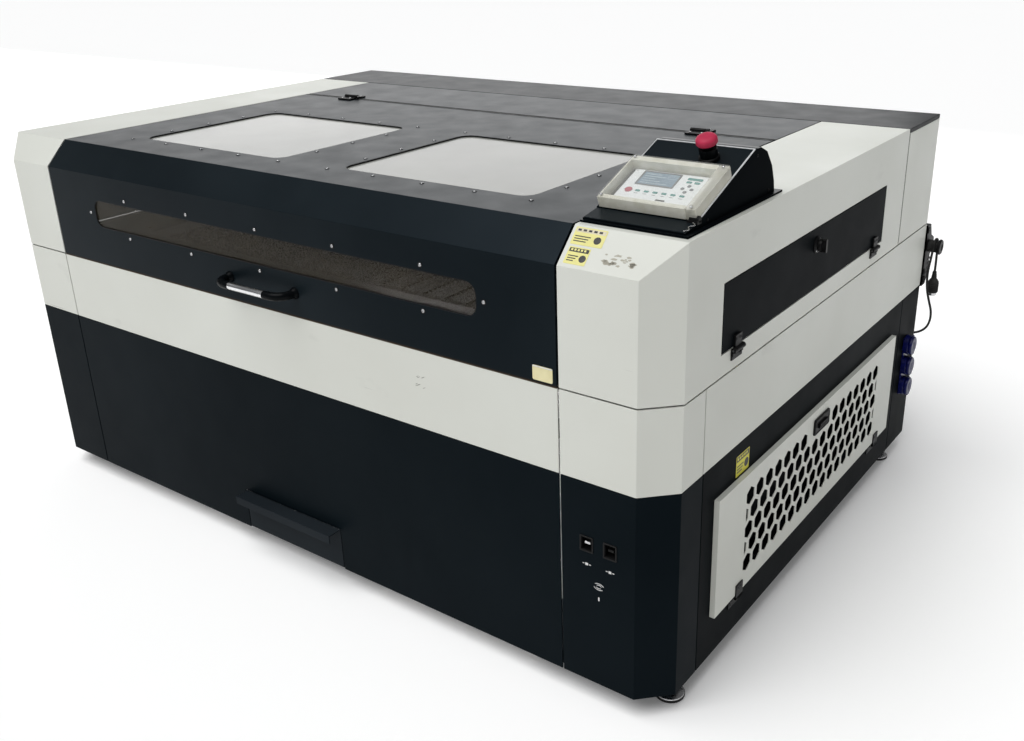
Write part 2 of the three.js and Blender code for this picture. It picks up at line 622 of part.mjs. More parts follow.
function gantryBeam() {
  const low = RAIL.top + GAP;
  const end = RAIL.x + RAIL.width + 8;
  const carriages = [-1, 1].map((side) => {
    const edges = [side * (RAIL.x - 8), side * end].sort((a, b) => a - b);
    return box(edges[0], edges[1], GANTRY_Y - 60, GANTRY_Y + 60, low, low + 14);
  });
  const mirror = box(-RAIL.x - 20, -RAIL.x + 30, GANTRY_Y - 58, GANTRY_Y - 20, low + 10, low + 58);
  return join(box(-end, end, GANTRY_Y - 25, GANTRY_Y + 25, low + 3, low + 38), ...carriages, mirror);
}

function laserHead() {
  const front = GANTRY_Y - 25 - GAP;
  const low = RAIL.top;
  const nozzle = new THREE.LatheGeometry(toVectors([[0, 0], [3, 0], [13, 34], [15, 36], [15, 60],
    [0, 60]]), 16).rotateX(Math.PI / 2).translate(HEAD_X, front - 38, BED.top + 6);
  return join(box(HEAD_X - 40, HEAD_X + 40, front - 12, front, low - 55, low + 42),
    box(HEAD_X - 26, HEAD_X + 26, front - 62, front - 11, low - 30, low + 30),
    cylinder('z', 18, BED.top + 60, low - 28, HEAD_X, front - 38), nozzle);
}

// ---- assembly ----
add('base_frame', baseFrame(), 'navy');
for (const [side, x] of [['left', -FEET.x], ['right', FEET.x]]) {
  add(`foot_front_${side}`, levellingFoot(x, FEET.y.front), 'rubber');
  add(`foot_rear_${side}`, levellingFoot(x, FEET.y.rear), 'rubber');
}

add('lower_front_panel', lowerFrontPanel(), 'navy');
add('front_post_left', frontPost(mirrored(CORNER_PATH)), 'navy');
add('front_post_right', cut(frontPost(CORNER_PATH), ...portWindows()), 'navy');
add('side_panel_left', box(-HALF, -SKIN, POST_DEPTH + SEAM / 2, DEPTH - POST_DEPTH - SEAM / 2,
  Z_BOTTOM, Z_BAND - 1), 'navy');
add('side_panel_right', sidePanelRight(), 'navy');
add('rear_panel', rearPanel(), 'navy');

const BAND_TOP = Z_UPPER - SEAM;
const bandPiece = (x0, x1, y0, y1) => box(x0, x1, y0, y1, Z_BAND, BAND_TOP);
add('band_front', bandPiece(-LID_HALF + SEAM / 2, LID_HALF - SEAM / 2, 0, SHEET), 'white');
add('band_corner_left', prism('plan', strip(mirrored(CORNER_PATH), SHEET), Z_BAND, BAND_TOP), 'white');
add('band_corner_right', prism('plan', strip(CORNER_PATH, SHEET), Z_BAND, BAND_TOP), 'white');
add('band_left', bandPiece(-HALF, -SKIN, POST_DEPTH + SEAM / 2, DEPTH), 'white');
add('band_right', bandPiece(SKIN, HALF, POST_DEPTH + SEAM / 2, DEPTH), 'white');
add('band_rear', bandPiece(-SKIN + GAP, SKIN - GAP, DEPTH - SHEET, DEPTH), 'white');

const passOpening = box(SKIN - 20, HALF + 20, PASS.front, PASS.rear, PASS.low, PASS.high);
add('cap_left', toGeometry(toSolid(sideCap()).mirror([1, 0, 0])), 'white');
add('cap_right', cut(sideCap(), passOpening), 'white');
add('top_bridge', topBridge(), 'navy');
add('rear_shroud', rearShroud(), 'white');
add('work_deck', workDeck(), 'white');
add('y_rail_left', yRail().translate(-2 * RAIL.x - RAIL.width, 0, 0), 'steel');
add('y_rail_right', yRail(), 'steel');
add('console_housing', consoleHousing(), 'black');
add('keypad', keypad(), 'keypad');
add('socket_block', socketBlock(), 'blue');
add('cord_hook', cordHook(), 'black');
add('cord_gland', cordGland(), 'rubber');
add('exhaust_collar', exhaustCollar(), 'steel');
add('laser_tube', laserTube(), 'clear');
add('tube_cradle', tubeCradle(), 'steel');
add('power_supply', electronicsBox(ELECTRONICS.supply), 'steel');
add('motion_controller', electronicsBox(ELECTRONICS.controller), 'black');
add('lift_motor', liftMotor(), 'black');

add('lid_shell', lidShell(), 'navy');
add('front_window', frontPane(), 'amber');
add('top_window_left', topPane(-1), 'clear');
add('top_window_right', topPane(1), 'clear');
add('lid_handle', lidHandle(), 'steel');
add('rear_cover', rearCover(), 'navy');
add('pass_door', passDoor(), 'navy');
add('pass_knob', passKnob(), 'black');
add('vent_door', ventDoor(), 'white');
add('vent_latch', ventLatch(), 'black');
add('debris_drawer', debrisDrawer(), 'navy');
add('clear_cover', clearCover(), 'clear');
add('estop_button', estopButton(), 'red');
add('bed_table', bedTable(), 'steel');
for (const [side, x] of [['left', -SCREW.x], ['right', SCREW.x]]) {
  add(`lift_screw_front_${side}`, liftScrew(x, SCREW.yFront), 'steel');
  add(`lift_screw_rear_${side}`, liftScrew(x, SCREW.yRear), 'steel');
}
add('gantry_beam', gantryBeam(), 'steel');
add('laser_head', laserHead(), 'steel');
SOCKETS.z.forEach((height, i) => add(`socket_lid_${i + 1}`, socketLid(height), 'blue'));
add('cord_lead', cordLead(), 'rubber');
add('cord_plug', cordPlug(), 'rubber');

machine.position.set(-RIGHT_REACH / 2, -(DEPTH - FRONT_REACH + REAR_REACH) / 2, 0);

export default machine;
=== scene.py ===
# The looks of the laser cutter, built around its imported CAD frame. +Z is up and +X the machine's right.
# Shapes are drawn in machine millimetres: x from the cabinet's middle, y back from its front face, z up from
# the floor. piece() turns them into metres in the row frame.
import random
from math import atan, cos, pi, radians, sin

import bmesh
import bpy
from mathutils import Matrix, Vector


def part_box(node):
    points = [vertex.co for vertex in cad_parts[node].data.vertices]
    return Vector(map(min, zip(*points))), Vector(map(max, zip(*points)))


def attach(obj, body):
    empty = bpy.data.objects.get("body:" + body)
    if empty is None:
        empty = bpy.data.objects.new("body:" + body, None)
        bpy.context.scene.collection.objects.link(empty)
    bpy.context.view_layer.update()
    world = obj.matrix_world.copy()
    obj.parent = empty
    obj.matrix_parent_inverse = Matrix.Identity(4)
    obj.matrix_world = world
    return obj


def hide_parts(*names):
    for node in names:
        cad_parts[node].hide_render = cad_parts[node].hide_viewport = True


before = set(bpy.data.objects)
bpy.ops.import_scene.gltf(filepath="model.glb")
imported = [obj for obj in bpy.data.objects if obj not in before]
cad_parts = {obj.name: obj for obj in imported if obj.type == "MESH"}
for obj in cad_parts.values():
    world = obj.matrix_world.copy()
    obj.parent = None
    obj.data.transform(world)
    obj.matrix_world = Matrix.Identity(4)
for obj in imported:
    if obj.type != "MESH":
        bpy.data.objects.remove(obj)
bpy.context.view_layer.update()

X, Y, Z = Vector((1, 0, 0)), Vector((0, 1, 0)), Vector((0, 0, 1))
MM = 0.001
ORIGIN = Vector(((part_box("side_panel_left")[0].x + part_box("side_panel_right")[1].x) / 2,
                 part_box("lower_front_panel")[0].y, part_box("foot_front_right")[0].z))
MACHINE = Matrix.Translation(ORIGIN) @ Matrix.Scale(MM, 4)
SIDES = ((-1, "left"), (1, "right"))
CORNERS = [f"{end}_{side}" for end in ("front", "rear") for side in ("left", "right")]


def extent(node):
    """A CAD node's lowest and highest corner at rest, in machine millimetres."""
    return [(corner - ORIGIN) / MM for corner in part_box(node)]


# ---- where the frame puts things ----
HALF = extent("side_panel_right")[1].x
DEPTH = extent("rear_panel")[1].y
BASE = extent("lower_front_panel")[0].z
BAND_TOP = extent("band_front")[1].z
TOP = extent("top_bridge")[1].z
CHAMFER = 57
SLOPE = TOP - CHAMFER
LID = extent("lid_shell")
PASS = extent("pass_door")
VENT = extent("vent_door")
HANDLE = extent("lid_handle")
KEYS = extent("keypad")
TUBE = extent("laser_tube")


# ---- shapes: each is a list of points and a list of faces ----
def joined(*shapes):
    points, faces = [], []
    for shape_points, shape_faces in shapes:
        start = len(points)
        points += [Vector(p) for p in shape_points]
        faces += [tuple(start + i for i in face) for face in shape_faces]
    return points, faces


def placed(shape, matrix):
    return [matrix @ Vector(p) for p in shape[0]], shape[1]


def moved(shape, x=0.0, y=0.0, z=0.0):
    return placed(shape, Matrix.Translation((x, y, z)))


def turned(layers, matrix):
    """Each (shape, material) layer moved by the same matrix."""
    return [(placed(shape, matrix), material) for shape, material in layers]


def shifted(layers, x=0.0, y=0.0, z=0.0):
    return turned(layers, Matrix.Translation((x, y, z)))


def facing(origin, normal, up=Z):
    """The place of a shape drawn flat: its Z goes along normal, and its Y as near to up as it can."""
    w = Vector(normal).normalized()
    if abs(w.dot(up)) > 0.99:
        up = Y
    u = Vector(up).cross(w).normalized()
    return Matrix.Translation(origin) @ Matrix((u, w.cross(u), w)).transposed().to_4x4()


def loft(rings, closed=False):
    """A skin over rings of points, capped at both ends unless the last ring joins the first."""
    count, total = len(rings[0]), len(rings)
    points = [p for ring in rings for p in ring]
    faces = []
    for r in range(total if closed else total - 1):
        a, b = r * count, (r + 1) % total * count
        faces += [(a + i, a + (i + 1) % count, b + (i + 1) % count, b + i) for i in range(count)]
    if not closed:
        faces += [tuple(reversed(range(count))), tuple(range((total - 1) * count, total * count))]
    return points, faces


def circle(radius, sides, height=0.0, turn=0.0):
    angles = [2 * pi * i / sides + turn for i in range(sides)]
    return [(radius * cos(a), radius * sin(a), height) for a in angles]


def arc(radius, start, stop, step):
    """Flat points on a circle, by whole degrees."""
    angles = [radians(degree) for degree in range(start, stop, step)]
    return [(radius * cos(a), radius * sin(a)) for a in angles]


def notched(radius, height, depth, sides, run):
    """A ring of points that steps in by depth: `run` points out, then `run` points in."""
    ring = []
    for i in range(sides):
        share, angle = radius - depth * (i // run % 2), 2 * pi * i / sides
        ring.append((share * cos(angle), share * sin(angle), height))
    return ring


def lathe(profile, sides=24, closed=False):
    """A turned shape about Z, from (radius, height) points."""
    return loft([circle(max(radius, 0.02), sides, height) for radius, height in profile], closed)


def prism(outline, low, high):
    return loft([[(u, v, low) for u, v in outline], [(u, v, high) for u, v in outline]])


def side_prism(outline, left, right):
    """A (y, z) outline extruded along x."""
    return loft([[(left, y, z) for y, z in outline], [(right, y, z) for y, z in outline]])


def rounded(width, height, radius, steps=4):
    """A rectangle about the origin with round corners."""
    outline = []
    for su, sv, start in ((1, -1, -90), (1, 1, 0), (-1, 1, 90), (-1, -1, 180)):
        for i in range(steps + 1):
            angle = radians(start + 90 * i / steps)
            outline.append((su * (width / 2 - radius) + radius * cos(angle),
                            sv * (height / 2 - radius) + radius * sin(angle)))
    return outline


def block(x0, x1, y0, y1, z0, z1):
    return prism([(x0, y0), (x1, y0), (x1, y1), (x0, y1)], z0, z1)


def tile(x0, x1, y0, y1, z0, z1, radius, steps=4):
    """A plate with round corners in its own plane."""
    outline = rounded(x1 - x0, y1 - y0, radius, steps)
    return moved(prism(outline, z0, z1), (x0 + x1) / 2, (y0 + y1) / 2)


def border(width, height, radius, wide, low, high, steps=4):
    """A flat frame with round corners, `wide` across, inside width by height."""
    outer = rounded(width, height, radius, steps)
    inner = rounded(width - 2 * wide, height - 2 * wide, max(radius - wide, 0.5), steps)
    return loft([[(u, v, low) for u, v in outer], [(u, v, high) for u, v in outer],
                 [(u, v, high) for u, v in inner], [(u, v, low) for u, v in inner]], closed=True)


def rod(start, end, radius, sides=16, chamfer=0.6):
    """A round bar between two points, with chamfered ends."""
    start, end = Vector(start), Vector(end)
    length = (end - start).length
    c = min(chamfer, length / 3, radius / 2)
    shape = lathe([(radius - c, 0), (radius, c), (radius, length - c), (radius - c, length)], sides)
    return placed(shape, facing(start, end - start))


def pipe(path, radius, sides=12):
    """A round bar along a path, its section carried along without twisting."""
    path = [Vector(p) for p in path]
    side = None
    rings = []
    for i, point in enumerate(path):
        along = (path[min(i + 1, len(path) - 1)] - path[max(i - 1, 0)]).normalized()
        side = side or along.orthogonal()
        side = (side - along * side.dot(along)).normalized()
        other = along.cross(side)
        rings.append([point + (side * x + other * y) * radius for x, y, _ in circle(1, sides)])
    return loft(rings)


def curved(points, per_span=6):
    """A Catmull-Rom line through the points."""
    points = [Vector(p) for p in points]
    ends = [2 * points[0] - points[1], *points, 2 * points[-1] - points[-2]]
    path = []
    for a, b, c, d in zip(ends, ends[1:], ends[2:], ends[3:]):
        for i in range(per_span):
            t = i / per_span
            path.append(0.5 * (2 * b + (c - a) * t + (2 * a - 5 * b + 4 * c - d) * t ** 2
                               + (3 * b - a - 3 * c + d) * t ** 3))
    return path + [points[-1]]


def dome_screw(at, normal, radius):
    """A button head with a round driver socket."""
    profile = [(0, -0.2), (1, -0.2), (1, 0.12), (0.93, 0.34), (0.74, 0.52), (0.5, 0.6), (0.46, 0.56),
               (0.44, 0.2), (0, 0.2)]
    return placed(lathe([(r * radius, h * radius) for r, h in profile], 14), facing(at, normal))


def washer(at, normal, radius, height=0.5):
    shape = lathe([(radius * 0.5, 0), (radius, 0), (radius, height * 0.6), (radius * 0.92, height),
                   (radius * 0.5, height)], 18, closed=True)
    return placed(shape, facing(at, normal))


def hex_nut(at, normal, radius, height):
    rings = [circle(radius * share, 6, h * height) for share, h in
             ((0.88, 0), (1, 0.14), (1, 0.86), (0.88, 1))]
    return placed(loft(rings), facing(at, normal))


# ---- pieces ----
def piece(name, body, layers, bevel=0.0, smooth=35, replaces=()):
    """One visible piece from (shape, material) layers in machine millimetres, riding on a CAD body."""
    materials = []
    indices = []
    for shape, material in layers:
        if material not in materials:
            materials.append(material)
        indices += [materials.index(material)] * len(shape[1])
    points, faces = joined(*(shape for shape, _ in layers))
    mesh = bpy.data.meshes.new(name)
    mesh.from_pydata([tuple(MACHINE @ p) for p in points], [], faces)
    for material in materials:
        mesh.materials.append(material)
    mesh.polygons.foreach_set("material_index", indices)
    built = bmesh.new()
    built.from_mesh(mesh)
    bmesh.ops.recalc_face_normals(built, faces=built.faces)
    built.to_mesh(mesh)
    built.free()
    mesh.polygons.foreach_set("use_smooth", [True] * len(mesh.polygons))
    mesh.set_sharp_from_angle(angle=radians(smooth))
    made = bpy.data.objects.new(name, mesh)
    bpy.context.scene.collection.objects.link(made)
    if bevel:
        round_edges(made, bevel)
        flat_faces(made)
    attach(made, body)
    if replaces:
        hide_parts(*replaces)
    return made


def round_edges(made, width):
    """Small rounds on the sharp edges, `width` millimetres across."""
    modifier = made.modifiers.new("edges", "BEVEL")
    modifier.width = width * MM
    modifier.segments = 2
    modifier.limit_method = "ANGLE"
    modifier.angle_limit = radians(40)


def flat_faces(made):
    """Keeps large flat faces flat in shading where a rounded edge runs into them."""
    modifier = made.modifiers.new("flat_faces", "WEIGHTED_NORMAL")
    modifier.mode = "FACE_AREA"
    modifier.weight = 100
    modifier.keep_sharp = True


def smooth_shading():
    """A geometry-nodes group that shades smooth except across edges sharper than 35 degrees."""
    group = bpy.data.node_groups.new("smooth_shading", "GeometryNodeTree")
    for way in ("INPUT", "OUTPUT"):
        group.interface.new_socket("Geometry", in_out=way, socket_type="NodeSocketGeometry")
    nodes, link = group.nodes, group.links.new
    start, end = nodes.new("NodeGroupInput"), nodes.new("NodeGroupOutput")
    plain = nodes.new("GeometryNodeRemoveAttribute")
    plain.inputs["Name"].default_value = "custom_normal"
    faces, edges = (nodes.new("GeometryNodeSetShadeSmooth") for _ in range(2))
    edges.domain = "EDGE"
    edges.inputs["Shade Smooth"].default_value = False
    angle = nodes.new("GeometryNodeInputMeshEdgeAngle")
    sharp = nodes.new("FunctionNodeCompare")
    sharp.inputs["B"].default_value = radians(35)
    link(start.outputs[0], plain.inputs["Geometry"])
    link(plain.outputs["Geometry"], faces.inputs["Geometry"])
    link(faces.outputs["Geometry"], edges.inputs["Geometry"])
    link(angle.outputs["Unsigned Angle"], sharp.inputs["A"])
    link(sharp.outputs["Result"], edges.inputs["Selection"])
    link(edges.outputs["Geometry"], end.inputs[0])
    return group


SMOOTH = smooth_shading()

# nodes with holes, which merged faces would cover
PIERCED = ("lid_shell", "base_frame", "work_deck", "vent_door", "front_post_right", "side_panel_right",
           "rear_panel", "cap_right", "cap_left", "exhaust_collar", "pass_door", "rear_cover",
           "tube_cradle")


def dress(node, material, bevel):
    """A CAD node's finish: its material, and modifiers that merge its triangles and round its edges."""
    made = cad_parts[node]
    for place in made.material_slots:
        place.material = material
    weld = made.modifiers.new("weld", "WELD")
    weld.merge_threshold = 0.01 * MM
    if node not in PIERCED:
        flat = made.modifiers.new("flat", "DECIMATE")
        flat.decimate_type = "DISSOLVE"
        flat.angle_limit = radians(0.5)
    round_edges(made, bevel)
    made.modifiers.new("smooth", "NODES").node_group = SMOOTH
    flat_faces(made)


# ---- materials ----
def srgb(red, green, blue):
    """A colour from 0 to 255 as linear light."""
    shares = (red / 255, green / 255, blue / 255)
    return tuple(c / 12.92 if c <= 0.04045 else ((c + 0.055) / 1.055) ** 2.4 for c in shares) + (1.0,)


class Finish:
    """A Principled material, with the few node moves that every finish here is made of."""

    def __init__(self, name, **values):
        self.material = bpy.data.materials.new(name)
        self.material.use_nodes = True
        self.tree = self.material.node_tree
        self.shader = self.tree.nodes["Principled BSDF"]
        self.place = self.node("ShaderNodeTexCoord").outputs["Object"]
        for socket, value in values.items():
            self.shader.inputs[socket.replace("_", " ")].default_value = value

    def node(self, kind, settings=(), **inputs):
        made = self.tree.nodes.new(kind)
        for key, value in dict(settings).items():
            setattr(made, key, value)
        for socket, value in inputs.items():
            self.feed(made.inputs[socket.replace("_", " ")], value)
        return made

    def feed(self, socket, value):
        if isinstance(value, bpy.types.NodeSocket):
            self.tree.links.new(value, socket)
        else:
            socket.default_value = value

    def noise(self, scale, detail=3.0, stretch=(1, 1, 1)):
        spot = self.node("ShaderNodeMapping", Vector=self.place, Scale=stretch).outputs["Vector"]
        return self.node("ShaderNodeTexNoise", Vector=spot, Scale=scale, Detail=detail).outputs["Fac"]

    def ramp(self, value, start, end, low=0.0, high=1.0):
        ranged = self.node("ShaderNodeMapRange", Value=value, From_Min=start, From_Max=end,
                           To_Min=low, To_Max=high)
        return ranged.outputs["Result"]

    def mix(self, share, first, second, blend="MIX"):
        made = self.tree.nodes.new("ShaderNodeMix")
        made.data_type, made.blend_type = "RGBA", blend
        for socket, value in ((0, share), (6, first), (7, second)):
            self.feed(made.inputs[socket], value)
        return made.outputs[2]

    def upward(self, level, other):
        """A value that is `level` on upward faces and `other` on the rest; the powder coats use it for a
        painted sheen.
        """
        normal = self.node("ShaderNodeNewGeometry").outputs["Normal"]
        height = self.node("ShaderNodeSeparateXYZ", Vector=normal).outputs["Z"]
        return self.ramp(height, 0.3, 0.9, other, level)

    def mottled(self, scale, detail, start, end, colour, other):
        """Base colour that drifts between two colours."""
        self.colour(self.mix(self.ramp(self.noise(scale, detail), start, end), colour, other))

    def bump(self, height, strength, distance):
        made = self.node("ShaderNodeBump", Height=height, Strength=strength, Distance=distance)
        self.feed(self.shader.inputs["Normal"], made.outputs["Normal"])

    def colour(self, value):
        self.feed(self.shader.inputs["Base Color"], value)

    def roughness(self, value, start, end, low, high):
        self.feed(self.shader.inputs["Roughness"], self.ramp(value, start, end, low, high))


def powder_coat(name, colour, dusty, roughness, top_painted_sheen, side_painted_sheen):
    """Sprayed and baked paint: an orange-peel skin, faint dust and rubbed spots, and a painted sheen that is
    stronger on upward faces than on the rest.
    """
    made = Finish(name, Specular_Tint=srgb(206, 232, 255))
    colour, dusty = srgb(*colour), srgb(*dusty)
    dust = made.ramp(made.noise(2.2, 6), 0.42, 0.78)
    scuff = made.ramp(made.noise(9, 8, (1, 1, 0.35)), 0.6, 0.8, 0, 0.55)
    made.colour(made.mix(scuff, made.mix(dust, colour, dusty), dusty))
    # Painted sheen: the specular level is set by which way a face points, stronger on upward faces and weaker
    # on the rest.
    made.feed(made.shader.inputs["Specular IOR Level"], made.upward(top_painted_sheen, side_painted_sheen))
    made.roughness(made.noise(14, 6), 0.3, 0.75, roughness - 0.03, roughness + 0.04)
    made.bump(made.noise(900, 2), 0.12, 0.25 * MM)
    return made.material


def white_coat():
    """The light powder coat, with grey hand marks and a few thin scratches."""
    made = Finish("white_coat", Specular_IOR_Level=0.4)
    clean, worn, mark = srgb(218, 220, 213), srgb(208, 209, 201), srgb(168, 168, 162)
    body = made.mix(made.ramp(made.noise(1.6, 5), 0.35, 0.75), clean, worn)
    smudge = made.ramp(made.noise(6.5, 7, (1, 1, 1.6)), 0.66, 0.86, 0, 0.5)
    scratch = made.ramp(made.noise(26, 2, (0.2, 0.2, 3.5)), 0.765, 0.8, 0, 0.5)
    made.colour(made.mix(scratch, made.mix(smudge, body, mark), mark))
    made.roughness(made.noise(7, 5), 0.3, 0.75, 0.38, 0.55)
    made.bump(made.noise(900, 2), 0.12, 0.25 * MM)
    return made.material


def plastic(name, colour, worn, roughness, coat=0.0, shine=0.4):
    """Moulded plastic with a fine spark-eroded texture."""
    made = Finish(name, Coat_Weight=coat, Coat_Roughness=0.12, Specular_IOR_Level=shine)
    made.mottled(30, 5, 0.35, 0.75, srgb(*colour), srgb(*worn))
    made.roughness(made.noise(60, 4), 0.3, 0.7, roughness - 0.05, roughness + 0.07)
    made.bump(made.noise(1400, 2), 0.1, 0.15 * MM)
    return made.material


def metal(name, colour, dull, roughness, stretch=(1, 1, 1), scale=160):
    """Machined or extruded metal, brushed along the axis whose stretch is smallest."""
    made = Finish(name, Metallic=1.0)
    lines = made.noise(scale, 4, stretch)
    made.mottled(14, 5, 0.35, 0.75, colour, dull)
    made.roughness(lines, 0.3, 0.7, roughness - 0.06, roughness + 0.1)
    made.bump(lines, 0.12, 0.1 * MM)
    return made.material


def acrylic(name, colour, haze_and_painted_reflection, alpha, roughness, haze_scale, shine=0.5):
    """A clear or tinted sheet: it lets some of what is behind it through and shows faint haze; on the top
    windows its pale grey and the drift in it are painted reflection.
    """
    made = Finish(name, Specular_IOR_Level=shine, Alpha=alpha)
    made.mottled(haze_scale, 5, 0.35, 0.7, srgb(*colour), srgb(*haze_and_painted_reflection))
    made.roughness(made.noise(18, 6), 0.3, 0.75, roughness, roughness + 0.08)
    made.bump(made.noise(7, 2), 0.03, 0.4 * MM)
    return made.material


def rubber_skin(name, colour):
    made = Finish(name, Specular_IOR_Level=0.25)
    made.mottled(40, 6, 0.4, 0.8, colour, (0.05, 0.05, 0.048, 1))
    made.roughness(made.noise(80, 4), 0.3, 0.7, 0.62, 0.8)
    made.bump(made.noise(1100, 3), 0.25, 0.2 * MM)
    return made.material


def printed(name, colour, worn, roughness=0.4):
    """Printed or painted film, a little uneven and rubbed."""
    made = Finish(name)
    made.mottled(90, 6, 0.5, 0.8, srgb(*colour), srgb(*worn))
    made.roughness(made.noise(50, 3), 0.3, 0.7, roughness, roughness + 0.12)
    made.bump(made.noise(600, 3), 0.05, 0.1 * MM)
    return made.material


# One navy paint in four copies. The front and side copies are darker: painted shade on the front panels,
# posts and side panels. The drawer's copy is lighter: painted light on its lip.
NAVY = powder_coat("navy_coat", (14, 21, 25), (24, 31, 35), 0.36, 0.14, 0.05)
NAVY_LIP_PAINTED_LIGHT = powder_coat("navy_drawer_painted_light", (28, 33, 37), (38, 43, 47), 0.4, 0.14, 0.03)
NAVY_FRONT_PAINTED_SHADE = powder_coat("navy_front_painted_shade", (10, 17, 21), (17, 24, 28), 0.42, 0.1, 0.025)
NAVY_SIDE_PAINTED_SHADE = powder_coat("navy_side_painted_shade", (14, 17, 19), (24, 27, 29), 0.5, 0.1, 0.02)
CHARCOAL = powder_coat("charcoal_coat", (18, 20, 22), (28, 29, 30), 0.4, 0.14, 0.08)
WHITE = white_coat()
# The console's black has almost no sheen on its sides: painted shade.
CONSOLE_BLACK = powder_coat("console_black", (8, 12, 15), (13, 17, 20), 0.3, 0.1, 0.002)
GLOSS_BLACK = plastic("gloss_black", (8, 11, 13), (14, 16, 18), 0.26, shine=0.05)
BLACK = plastic("satin_black", (10, 10, 11), (20, 20, 21), 0.42, shine=0.15)
GREY_CASE = plastic("grey_case", (120, 124, 128), (98, 102, 106), 0.48)
KEYPAD_WHITE = plastic("keypad_white", (240, 243, 244), (228, 232, 234), 0.36)
RED = plastic("crimson", (186, 46, 78), (170, 40, 70), 0.5, shine=0.25)
BLUE = plastic("socket_blue", (9, 17, 84), (7, 13, 66), 0.34, coat=0.12, shine=0.2)
CREAM = plastic("cream_tab", (232, 224, 178), (216, 206, 158), 0.5)
STEEL = metal("zinc_steel", (0.66, 0.66, 0.67, 1), (0.5, 0.5, 0.51, 1), 0.26)
BRIGHT = metal("bright_trim", (0.86, 0.86, 0.87, 1), (0.72, 0.72, 0.73, 1), 0.2, (0.06, 1, 1), 240)
ALUMINIUM = metal("anodised", (0.74, 0.75, 0.77, 1), (0.64, 0.65, 0.67, 1), 0.34, (0.05, 1, 1), 300)
DARK_STEEL = metal("blackened_steel", (0.1, 0.1, 0.105, 1), (0.06, 0.06, 0.06, 1), 0.4)
BRASS = metal("brass", (0.75, 0.55, 0.24, 1), (0.6, 0.43, 0.19, 1), 0.28)
RUBBER = rubber_skin("rubber", (0.012, 0.012, 0.012, 1))
FOAM = rubber_skin("seal_foam", srgb(70, 56, 38))
AMBER = acrylic("amber_acrylic", (40, 36, 27), (52, 46, 35), 0.6, 0.1, 9, 0.12)
# Top windows: a nearly opaque pale grey, a painted reflection of bright surroundings on clear acrylic.
TOP_WINDOW_PAINTED_REFLECTION = acrylic("clear_acrylic", (140, 141, 136), (160, 160, 154), 0.94, 0.12, 1.6, 0.25)
YELLOWED = acrylic("yellowed_acrylic", (236, 234, 218), (242, 240, 230), 0.42, 0.1, 40)
GLASS = acrylic("tube_glass", (226, 236, 238), (214, 228, 232), 0.25, 0.03, 12)
LCD = printed("display", (124, 148, 166), (138, 160, 176), 0.12)
TEAL = printed("teal_key", (58, 138, 132), (80, 150, 146))
DARK_INK = printed("dark_ink", (34, 34, 34), (62, 60, 56))
YELLOW_FILM = printed("yellow_film", (228, 222, 138), (216, 210, 140))
LIME_FILM = printed("lime_film", (214, 206, 44), (202, 194, 60))
BEIGE_FILM = printed("beige_film", (214, 206, 178), (196, 188, 162))
WHITE_INK = printed("white_ink", (222, 222, 222), (180, 180, 180))
RESIDUE = printed("residue", (176, 172, 158), (150, 147, 136), 0.7)
GOLD = metal("gold_mirror", (0.95, 0.72, 0.32, 1), (0.9, 0.66, 0.28, 1), 0.08)
PALE_FILM = printed("pale_film", (244, 247, 248), (232, 236, 238))
LCD_INK = printed("display_ink", (168, 186, 198), (156, 174, 188), 0.2)
COVER_TOP = acrylic("cover_sheet", (238, 240, 236), (226, 226, 216), 0.14, 0.06, 30)
CLOUDY = acrylic("cloudy_acrylic", (240, 239, 228), (222, 220, 204), 0.9, 0.2, 60)
# Pale grey for the console's edge strips: a painted highlight along those edges.
EDGE_PAINTED_HIGHLIGHT = printed("edge_painted_highlight", (206, 208, 210), (178, 180, 182), 0.35)
SCUFF = printed("scuff", (150, 150, 144), (176, 176, 170), 0.6)
LAMP = Finish("lamp_strip", Emission_Strength=40, Emission_Color=(1, 0.98, 0.94, 1)).material
FLOOR = Finish("floor", Base_Color=(0.97, 0.97, 0.97, 1), Roughness=0.85, Specular_IOR_Level=0.2,
               Emission_Color=(1, 1, 1, 1), Emission_Strength=0.11).material


# ---- camera ----
def add_camera():
    """At the photograph's angle, placed from the cabinet's lower right front corner."""
    yaw, pitch, roll = -0.642, -0.389, -0.029
    ahead = Vector((sin(yaw) * cos(pitch), cos(yaw) * cos(pitch), sin(pitch)))
    level = Vector((cos(yaw), -sin(yaw), 0))
    upward = level.cross(ahead)
    right = level * cos(roll) + upward * sin(roll)
    up = upward * cos(roll) - level * sin(roll)
    data = bpy.data.cameras.new("camera")
    data.sensor_width, data.lens = 36, 36.52
    data.shift_x, data.shift_y = -0.0204, -0.0215
    camera = bpy.data.objects.new("camera", data)
    spot = MACHINE @ Vector((HALF, 0, BASE)) + Vector((0.7315, -1.3361, 1.3467))
    camera.matrix_world = Matrix.Translation(spot) @ Matrix((right, up, -ahead)).transposed().to_4x4()
    bpy.context.scene.collection.objects.link(camera)
    bpy.context.scene.camera = camera


add_camera()

# ---- cord, from its gland out and up over the spool, and down to its plug ----
CORD_ROUTE = [(945, 1382, 318), (945, 1393, 318), (950, 1404, 319), (964, 1411, 321), (982, 1412, 329),
              (997, 1410, 345), (1005, 1406, 368), (1006, 1400, 396), (1000, 1393, 425), (994, 1386, 456),
              (992, 1379, 490), (994, 1373, 522), (998, 1370, 552), (1000, 1370, 578),
              (1000, 1372.7, 588), (1000, 1380, 595.3), (1000, 1390, 598), (1000, 1400, 595.3),
              (1000, 1407.3, 588), (1000, 1410, 578), (1000.5, 1410, 555), (1001, 1410, 530),
              (1001, 1410, 505)]
CORD_RADIUS = 3
PLUG_LENGTH = 67
PLUG = Vector(CORD_ROUTE[-1]) - Z * PLUG_LENGTH
GLAND = Vector((945, DEPTH, 318))


